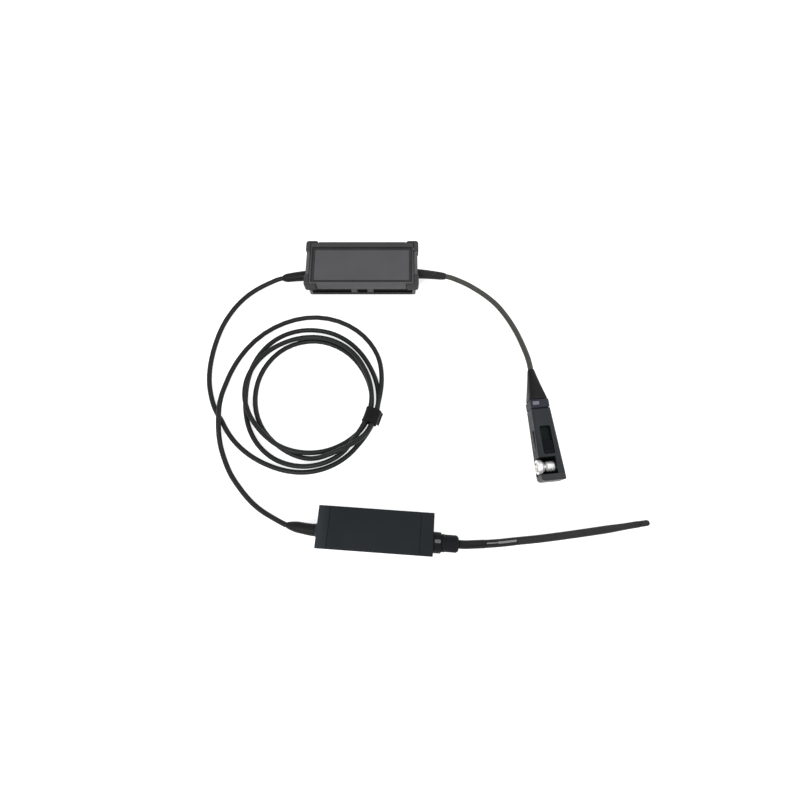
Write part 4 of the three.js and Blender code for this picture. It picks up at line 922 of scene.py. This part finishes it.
def build_receiver():
    softened(
        "receiver_top_shell", ["charcoal", "groove", "latch"],
        bevel=0.4, segments=3, choose=top_shell_region,
    )
    # The base's recess takes the near-black painted shade.
    softened(
        "receiver_base_shell", ["black", "lip", "cheek"],
        choose=base_shell_region, splits=(-CHEEK_START, CHEEK_START),
    )
    softened("receiver_label_plate", "label", bevel=0.2)
    for node in ("receiver_bumper_left", "receiver_bumper_right"):
        softened(node, ["bumper", "pad"], bevel=1.1, segments=4, choose=bumper_region)
    # The right relief takes a lighter copy of the relief rubber: painted light, with dust patches.
    sides = ((-1, "left", CABLE, "relief"), (1, "right", LEAD, "dusty_relief"))
    for side, name, cord, look in sides:
        node = "receiver_relief_" + name
        line = receiver_relief(side)
        add_relief(node, BENCH, line, RELIEFS[side], cord, RECEIVER_WALL_DEPTH, 5, look)
    for i, (x, y) in enumerate(SCREW_PLACES):
        add_screw(f"receiver_screw_{i + 1}", BENCH, (x, y, SCREW_SEAT), -UP, CASE_SHANK)


# ---- Sensor head ----

HEAD_END = 51.4
RAIL_SIDE = 14.25
RAIL_HEIGHT = 17.5
HEAD_AXIS = (0, AXIS, HEAD_MID)
CAP_SHANK = 14
RING_START = 51.7
RING_END = 58.9
RING_RADIUS = 9.2
JACK_BORE = 4.3
NUT_RADIUS = 7.5
NUT_MOUTH = 3.9
NUT_BORE = 5.1
NUT_LIP = 2.6
FERRULE_START = 66.2
FERRULE_RADIUS = 4.8
FLUTES = 24


def fluted(radius, depth):
    """A round outline with shallow flutes."""
    return lambda angle: radius - depth * max(0.0, math.cos(FLUTES * angle)) ** 2


def build_index_ring():
    """A ring with a flat-bottomed seat for its mark."""
    wide, start, end = RING_RADIUS, RING_START, RING_END
    profile = [
        (JACK_BORE, start), (wide - 0.3, start), (wide, start + 0.3), (wide, end - 1.0),
        (wide - 0.3, end - 0.3), (wide - 0.9, end), (JACK_BORE, end),
    ]
    ring = loft(on_axis(HEAD_AXIS, ALONG, profile), 96, closed=True)
    seat = box_mesh(
        (start + 0.6, AXIS - 0.6, HEAD_MID + wide - 1),
        (start + 6.6, AXIS + 3.0, HEAD_MID + wide + 2),
    )
    stand_in("head_index_ring", carved(ring, seat), HEAD, "nut", bevel=0.12)


def build_nut():
    """A fluted grip behind a plain collar, with a lip inside its mouth."""
    wide, start, end = NUT_RADIUS, NUT_START, NUT_END
    grip = fluted(wide, 0.2)
    collar = wide + 0.35
    profile = [
        (NUT_BORE, start), (collar - 0.25, start), (collar, start + 0.25), (collar, start + 2.6),
        (wide - 0.1, start + 3.0), (grip, start + 3.6), (grip, end - 2.6),
        (fluted(wide, 0.1), end - 1.9), (wide - 0.9, end - 0.6), (wide - 1.6, end),
        (NUT_MOUTH + 0.3, end), (NUT_MOUTH, end - 0.3), (NUT_MOUTH, end - NUT_LIP),
        (NUT_BORE, end - NUT_LIP),
    ]
    nut = loft(on_axis(HEAD_AXIS, ALONG, profile), FLUTES * 8, closed=True)
    stand_in("coupling_nut", nut, HEAD, "nut", body="coupling_nut", bevel=0.1)


def build_ferrule():
    """The tip lead's plug: wide behind the nut's lip, narrow through it."""
    back = NUT_END - NUT_LIP - FIT
    wide, narrow = FERRULE_RADIUS, NUT_MOUTH - FIT
    profile = [
        (wide - 0.3, FERRULE_START), (wide, FERRULE_START + 0.3), (wide, back - 0.3),
        (wide - 0.3, back), (narrow, back), (narrow, FERRULE_END - 0.3),
        (narrow - 0.3, FERRULE_END),
    ]
    bm = loft(on_axis(HEAD_AXIS, ALONG, profile), 64)
    stand_in("tip_ferrule", bm, HEAD, "nickel", bevel=0.1)


def build_head():
    for node in ("head_sleeve", "head_cap_left", "head_cap_right"):
        softened(node, "head", bevel=0.14)
    add_relief("head_relief", HEAD, head_relief(), HEAD_RELIEF, CABLE, HEAD_WALL_DEPTH, 10)
    build_index_ring()
    softened("head_index_mark", "mark", bevel=0.25, segments=3)
    build_nut()
    build_ferrule()
    for side, name in ((-1, "left"), (1, "right")):
        for i, y in enumerate((-RAIL_SIDE, RAIL_SIDE)):
            seat = (side * (HEAD_END - SCREW_SEAT), y, RAIL_HEIGHT)
            add_screw(f"head_screw_{name}_{i + 1}", HEAD, seat, side * ALONG, CAP_SHANK)


# ---- Tip lead ----

BOOT_START = 0.8
BOOT_END = 25.4
BOOT_RADIUS = 3.8
LABEL_END = 54.5
LABEL_RADIUS = 3.6
LONG_RADIUS = 3.55
LONG_END_RADIUS = 2.95
LONG_TAPER = (0.74, 0.9)  # where the long sleeve narrows, as shares of its length
SLEEVE_BORE = 2.35
CONNECTOR = 9.0
CONNECTOR_RADIUS = 2.75
GROOVE = (1.4, 2.2)  # on the connector, from its start
GROOVE_DEPTH = 0.25
PIN_RADIUS = 0.35
STRIPE_LEAN = Vector((0, 0.13, 0.99))
STRIPE_REACH = 0.972  # how squarely a face has to point that way


def sleeve_region(centre, normal):
    """0 for the sleeve, 1 for the pale stripe along its top."""
    return 1 if normal.dot(STRIPE_LEAN) > STRIPE_REACH else 0


def connector_radius(distance):
    """Slimmer towards its mouth, with a groove near its start."""
    mouth = 0.5 * max(0.0, (distance / CONNECTOR - 0.8) / 0.2)
    groove = GROOVE_DEPTH if GROOVE[0] < distance < GROOVE[1] else 0
    return CONNECTOR_RADIUS - mouth - groove


def connector_meshes(points, total):
    """The connector's shell, open at its mouth, and the pin inside."""
    shell = stations_along(part_of(points, total - CONNECTOR, total, 0.25), connector_radius)
    end, ahead = shell[-1][:2]
    shell += on_axis(end, ahead, [(1.5, 0), (1.3, -0.25), (1.3, -4)])
    line = part_of(points, total - 3.9, total - 0.8, 0.3)
    pin = stations_along(line, lambda distance: PIN_RADIUS if distance < 2.8 else 0.2)
    return loft(shell), loft(pin, 24)


def build_tip():
    """Sleeves that follow one another over the lead, its connector, and the lead itself."""
    points = tip_points()
    total = lengths_along(points)[-1]
    long_start = LABEL_END + FIT
    long_end = total - CONNECTOR - FIT

    def long_radius(distance):
        share = distance / (long_end - long_start)
        narrowed = clamped((share - LONG_TAPER[0]) / (LONG_TAPER[1] - LONG_TAPER[0]))
        return LONG_RADIUS - (LONG_RADIUS - LONG_END_RADIUS) * narrowed

    def sleeve(start, end, outer, ease):
        return rounded_tube(part_of(points, start, end), outer, SLEEVE_BORE, ease)

    boot = sleeve(BOOT_START, BOOT_END, BOOT_RADIUS, 0.5)
    label = sleeve(BOOT_END + FIT, LABEL_END, LABEL_RADIUS, 0.2)
    striped = ["label_sleeve", "stripe"]
    long_sleeve = sleeve(long_start, long_end, long_radius, 0.4)
    shell, pin = connector_meshes(points, total)
    pieces = [
        stand_in("tip_boot", boot, BENCH, "relief"),
        stand_in("tip_label_sleeve", label, BENCH, striped, choose=sleeve_region),
        stand_in("tip_long_sleeve", long_sleeve, BENCH, "long_sleeve"),
        stand_in("tip_connector", shell, BENCH, "long_sleeve", bevel=0.08),
        stand_in("tip_pin", pin, BENCH, "gold"),
    ]
    cord = part_of(points, 0, long_end, 1.0)
    node, leaves = ["tip_cable"], cord[0]
    add_cord("tip_lead", cord, TIP_CABLE, "cable", node)


# ---- Scope plug ----

PLUG_LENGTH = 111.0
PLUG_HEIGHT = 18.0
BODY_WIDTH = 18.0  # where the body starts
NOSE_WIDTH = 22.8
BODY_START = 42.1
BOOT_LENGTH = 32.5
BOOT_TIP = 3.3
COLLAR_HALF = 9.0
BAY_START = 89.2
BAY_END = 105.2
BAY_MID = 97.2
BAY_HALF = 10.5
SLOT_START = 59.8
SLOT_END = 86.6
SLOT_HALF = 5.2
POCKET_Z = 15.0
CONTACTS = [65.7, 70.7, 75.7, 80.7]
BLOCK_PROUD = 0.6  # the contact block beyond the plug's side
CONTACT_RADIUS = 0.75
CONTACT_FLANGE = 1.45
CONTACT_DEPTH = 4.0  # from the block's face to its back
PLUG_SCREWS = [(49.1, 0), (84.6, 5.6)]
PLUG_SHANK = 9.9


def plug_half(x):
    """Half the body's width at a distance from the plug's tail."""
    growth = (NOSE_WIDTH - BODY_WIDTH) * (x - BODY_START) / (PLUG_LENGTH - BODY_START)
    return (BODY_WIDTH + growth) / 2


# The bayonet connector: places on its axis, then radii, then half a notch's width.
RING_MOUTH = -plug_half(BAY_MID) - 0.9
RING_BACK = RING_MOUTH + 6.2
NECK_END = RING_BACK + 1.8
BLOCK_END = NECK_END + 8.2
RING_RIM = 7.0
BARREL = 4.0
NECK = 2.5
BLOCK = 4.9
NOTCH_HALF = 0.9


def squircle(half, squareness):
    """An outline between a round and a square one."""
    def reach(angle):
        both = abs(math.cos(angle)) ** squareness + abs(math.sin(angle)) ** squareness
        return half / both ** (1 / squareness)

    return reach


def across_plug(x, profile):
    """Stations on an axis across the plug."""
    return on_axis((x, 0, PLUG_MID), ACROSS, profile)


def build_plug_boot():
    """A smooth boot that grows from the lead's round section to the collar's."""
    rows = [(2.8, 3.0), (2.8, 0.3), (3.0, 0.0), (3.15, 0.2), (3.3, 0.65)]
    for i in range(1, 25):
        s = 0.02 + 0.98 * i / 24
        ease = 0.3 * max(0.0, (s - 0.985) / 0.015)
        half = BOOT_TIP + (COLLAR_HALF - BOOT_TIP) * s - ease
        rows.append((squircle(half, 2 + 3.5 * s * s), BOOT_LENGTH * s))
    bm = loft(on_axis((0, 0, PLUG_MID), ALONG, rows), 64)
    stand_in("plug_boot", bm, PLUG, "relief", bevel=0.2)


def plug_region(centre, normal):
    """0 for the body, 1 for the nose beyond the bay, lighter as a painted sheen, 2 inside the slot
    and the bay, near-black as painted shade.
    """
    spot = PLUG.inverted() @ (centre * MM)
    if spot.x > BAY_END - 2 * NEAR:
        return 1
    over_slot = SLOT_START - NEAR < spot.x < SLOT_END + NEAR and abs(spot.y) < SLOT_HALF + 1
    over_bay = BAY_START - NEAR < spot.x < BAY_END + NEAR and abs(spot.y) < BAY_HALF
    in_slot = over_slot and spot.z > POCKET_Z - NEAR
    in_bay = over_bay and spot.z > NEAR
    return 2 if (in_slot or in_bay) and spot.z < PLUG_HEIGHT - NEAR else 0


def build_bayonet_ring():
    """A ring with a collar inside its back and two notches."""
    bore = NECK + FIT
    mouth, back = RING_MOUTH, RING_BACK
    profile = [
        (bore, back - 1.3), (4.6, back - 1.3), (4.6, mouth), (6.4, mouth), (6.8, mouth + 0.15),
        (RING_RIM, mouth + 0.6), (RING_RIM, back - 2.6), (6.5, back - 2.1), (4.8, back),
        (bore, back),
    ]
    notches = []
    for turn in (0.8, 0.8 + math.pi):
        notch = box_mesh(
            (BAY_MID - NOTCH_HALF, mouth - 1, PLUG_MID + 3.5),
            (BAY_MID + NOTCH_HALF, mouth + 3.4, PLUG_MID + 11),
        )
        spin = Matrix.Rotation(turn, 3, "Y")
        bmesh.ops.rotate(notch, cent=(BAY_MID, 0, PLUG_MID), matrix=spin, verts=notch.verts)
        notches.append(notch)
    mesh = carved(loft(across_plug(BAY_MID, profile), 96, closed=True), *notches)
    stand_in("bayonet_ring", mesh, PLUG, "nickel", body="bayonet", bevel=0.12)


def build_bayonet_body():
    """The fixed barrel, its neck and block, and the pin in its middle."""
    mouth, back, end = RING_MOUTH, RING_BACK, NECK_END
    profile = [
        (3.0, back - 3.4), (3.0, mouth + 1.2), (3.2, mouth + 1), (BARREL - 0.2, mouth + 1),
        (BARREL, mouth + 1.2), (BARREL, back - 1.6), (NECK, back - 1.6), (NECK, end), (3.3, end),
        (BLOCK, end + 1.2), (BLOCK, end + 5.0), (BLOCK - 0.5, end + 5.3), (BLOCK, end + 5.6),
        (BLOCK, BLOCK_END - 0.4), (BLOCK - 0.4, BLOCK_END), (NECK, BLOCK_END),
        (NECK, BLOCK_END + 2.6),
    ]
    bm = loft(across_plug(BAY_MID, profile), 64)
    stand_in("bayonet_body", bm, PLUG, "nickel", bevel=0.1)
    tip = mouth + 2
    root = back - 4.6
    profile = [(2.2, root + 0.9), (2.2, root), (0.65, root), (0.65, tip + 0.4), (0.3, tip)]
    stand_in("bayonet_pin", loft(across_plug(BAY_MID, profile), 32), PLUG, "gold")


def build_contacts():
    """Round-nosed pins with a flange inside, in a row across the block."""
    face = -plug_half(sum(CONTACTS) / len(CONTACTS)) - BLOCK_PROUD
    back = face + CONTACT_DEPTH + FIT
    profile = [
        (0.3, face - 0.5), (0.55, face - 0.42), (CONTACT_RADIUS, face - 0.1),
        (CONTACT_RADIUS, back), (CONTACT_FLANGE, back), (CONTACT_FLANGE, back + 0.8),
    ]
    for i, x in enumerate(CONTACTS):
        bm = loft(across_plug(x, profile), 32)
        stand_in(f"contact_pin_{i + 1}", bm, PLUG, "contact", f"contact_{i + 1}")
    softened("contact_block", "plug", bevel=0.2)


def build_plug():
    build_plug_boot()
    softened("plug_collar", "collar", bevel=0.35, segments=3)
    softened("plug_window", "window", bevel=0.3, segments=3)
    for node in ("plug_upper_shell", "plug_lower_shell"):
        softened(
            node, ["plug", "nose", "slot"], bevel=0.35, segments=3,
            choose=plug_region, unit=PLUG, splits=(BAY_START, BAY_END),
        )
    softened("plug_slider", "slider", "slider", bevel=0.2)
    build_bayonet_ring()
    build_bayonet_body()
    build_contacts()
    for i, (x, y) in enumerate(PLUG_SCREWS):
        add_screw(f"plug_screw_{i + 1}", PLUG, (x, y, SCREW_SEAT), -UP, PLUG_SHANK)


# ---- Joint sheets: painted shade ----

SHADE_SHEET_SIDE = 24.0  # from the receiver's middle line


def build_shade_sheets():
    """Thin near-black sheets that close the joints at the receiver's bumpers and at the plug's
    collar: painted shade in the joints.
    """
    for side, name in ((-1, "receiver_shade_sheet_left"), (1, "receiver_shade_sheet_right")):
        near, far = sorted((side * BUMPER_FACE, side * (BUMPER_FACE - FIT)))
        low = (near, -SHADE_SHEET_SIDE, SHELL_BOTTOM + 0.4)
        high = (far, SHADE_SHEET_SIDE, SHELL_TOP - 0.9)
        add_piece(name, box_mesh(low, high), BENCH, "black")
    section = squircle(COLLAR_HALF - 0.6, 6)
    for i, start in enumerate((BOOT_LENGTH, BODY_START - FIT)):
        ends = [(section, start), (section, start + FIT)]
        shade_sheet = loft(on_axis((0, 0, PLUG_MID), ALONG, ends), 64)
        add_piece(f"plug_shade_sheet_{i + 1}", shade_sheet, PLUG, "black")


# ---- Tie ----

TIE_TURN = -19  # degrees round the coil's centre
TIE_MIDDLE = (63.1, 0, 6.7)  # from there, before the turn
TIE = place(*COIL_CENTRE, TIE_TURN) @ Matrix.Translation(TIE_MIDDLE)
TIE_HALF = (7.0, 6.0)  # the loop's middle line, across and up
TIE_CORNER = 3.8
TIE_LENGTH = 15.0
STRAP = 1.1
FLAP_STRAP = 0.9
STRAP_FULL = 0.9  # how far the middle stands beyond the edges
STRAP_COLUMNS = 24
FLAP = [
    (2.6, 0, 7.15), (5.6, 0, 7.05), (7.7, 0, 5.9), (8.15, 0, 3.4), (8.2, 0, 1.0),
    (8.5, 0, -0.8), (9.0, 0, -1.6), (9.8, 0, -2.0),
]


def tie_loop():
    """The strap's middle line round the bundle: a rounded rectangle."""
    points = []
    for quarter, (sx, sz) in enumerate(((1, 1), (-1, 1), (-1, -1), (1, -1))):
        for k in range(9):
            angle = math.pi / 2 * (quarter + k / 8)
            x = sx * (TIE_HALF[0] - TIE_CORNER) + TIE_CORNER * math.cos(angle)
            z = sz * (TIE_HALF[1] - TIE_CORNER) + TIE_CORNER * math.sin(angle)
            points.append(Vector((x, 0, z)))
    return evenly(points + [points[0]], 0.6)[:-1]


def strap_row(point, number, out, side, length, thickness):
    """One side of the webbing from edge to edge, uneven, and fuller at its middle."""
    row = []
    for j in range(STRAP_COLUMNS + 1):
        share = j / STRAP_COLUMNS - 0.5
        edge = abs(share) * 2
        spot = point + out * side * thickness / 2 + ACROSS * length * share
        lump = noise.noise(spot * 0.55) * 0.16 + noise.noise(spot * 1.7) * 0.08
        sway = Vector((number * 0.23, side * 0.2, 9.0 if share > 0 else 0.0))
        full = STRAP_FULL * (1 - edge**2) * clamped(0.5 + point.z / TIE_HALF[1] / 2)
        thin = side * 0.3 * thickness * edge**6
        spot += out * (full + side * lump - thin) + ACROSS * noise.noise(sway) * 0.22 * edge
        row.append(spot)
    return row


def strap_mesh(line, length, thickness, closed):
    """Soft webbing along a line in the x-z plane."""
    bm = bmesh.new()
    count = len(line)
    outer, inner = [], []
    for i, point in enumerate(line):
        before = line[(i - 1) % count] if closed else line[max(i - 1, 0)]
        after = line[(i + 1) % count] if closed else line[min(i + 1, count - 1)]
        along = (after - before).normalized()
        out = Vector((along.z, 0, -along.x))
        for rim, side in ((outer, 1), (inner, -1)):
            row = strap_row(point, i, out, side, length, thickness)
            rim.append([bm.verts.new(spot) for spot in row])
    for i in range(count if closed else count - 1):
        k = (i + 1) % count
        for j in range(STRAP_COLUMNS):
            bm.faces.new((outer[i][j], outer[i][j + 1], outer[k][j + 1], outer[k][j]))
            bm.faces.new((inner[i][j], inner[k][j], inner[k][j + 1], inner[i][j + 1]))
        for j in (0, STRAP_COLUMNS):
            bm.faces.new((outer[i][j], outer[k][j], inner[k][j], inner[i][j]))
    if not closed:
        for i in (0, count - 1):
            for j in range(STRAP_COLUMNS):
                bm.faces.new((outer[i][j], outer[i][j + 1], inner[i][j + 1], inner[i][j]))
    return bm


def build_tie():
    """A band round the bundle and the flap of its free end."""
    band = strap_mesh(tie_loop()[::-1], TIE_LENGTH, STRAP, True)
    flap = strap_mesh(evenly(curve_through(FLAP, 8), 0.6), TIE_LENGTH - 1.8, FLAP_STRAP, False)
    pieces = []
    for bm, name in ((band, "cable_tie_band"), (flap, "cable_tie_flap")):
        piece = add_piece(name, bm, TIE, "tie", instead=["cable_tie"])
        soft = piece.modifiers.new("smooth", "SUBSURF")
        soft.levels = 1
        soft.render_levels = 1
        pieces.append(piece)
    return pieces


# ---- Carried nodes and the end ----


def dress_nodes():
    """Every node takes a procedural material by its slot, so the hidden ones are finished too."""
    named = {"head_shell": "head", "plug_shell": "plug"}  # the slots whose look has another name
    for part in frame["record"]["subparts"]:
        slot = part["material_slot"]
        mesh = nodes[part["node"]].data
        mesh.materials.clear()
        mesh.materials.append(LOOKS[named.get(slot, slot)])


dress_nodes()
build_cords(build_tie())
build_tip()
build_receiver()
build_head()
build_plug()
build_shade_sheets()


def save_sizes():
    import json


save_sizes()
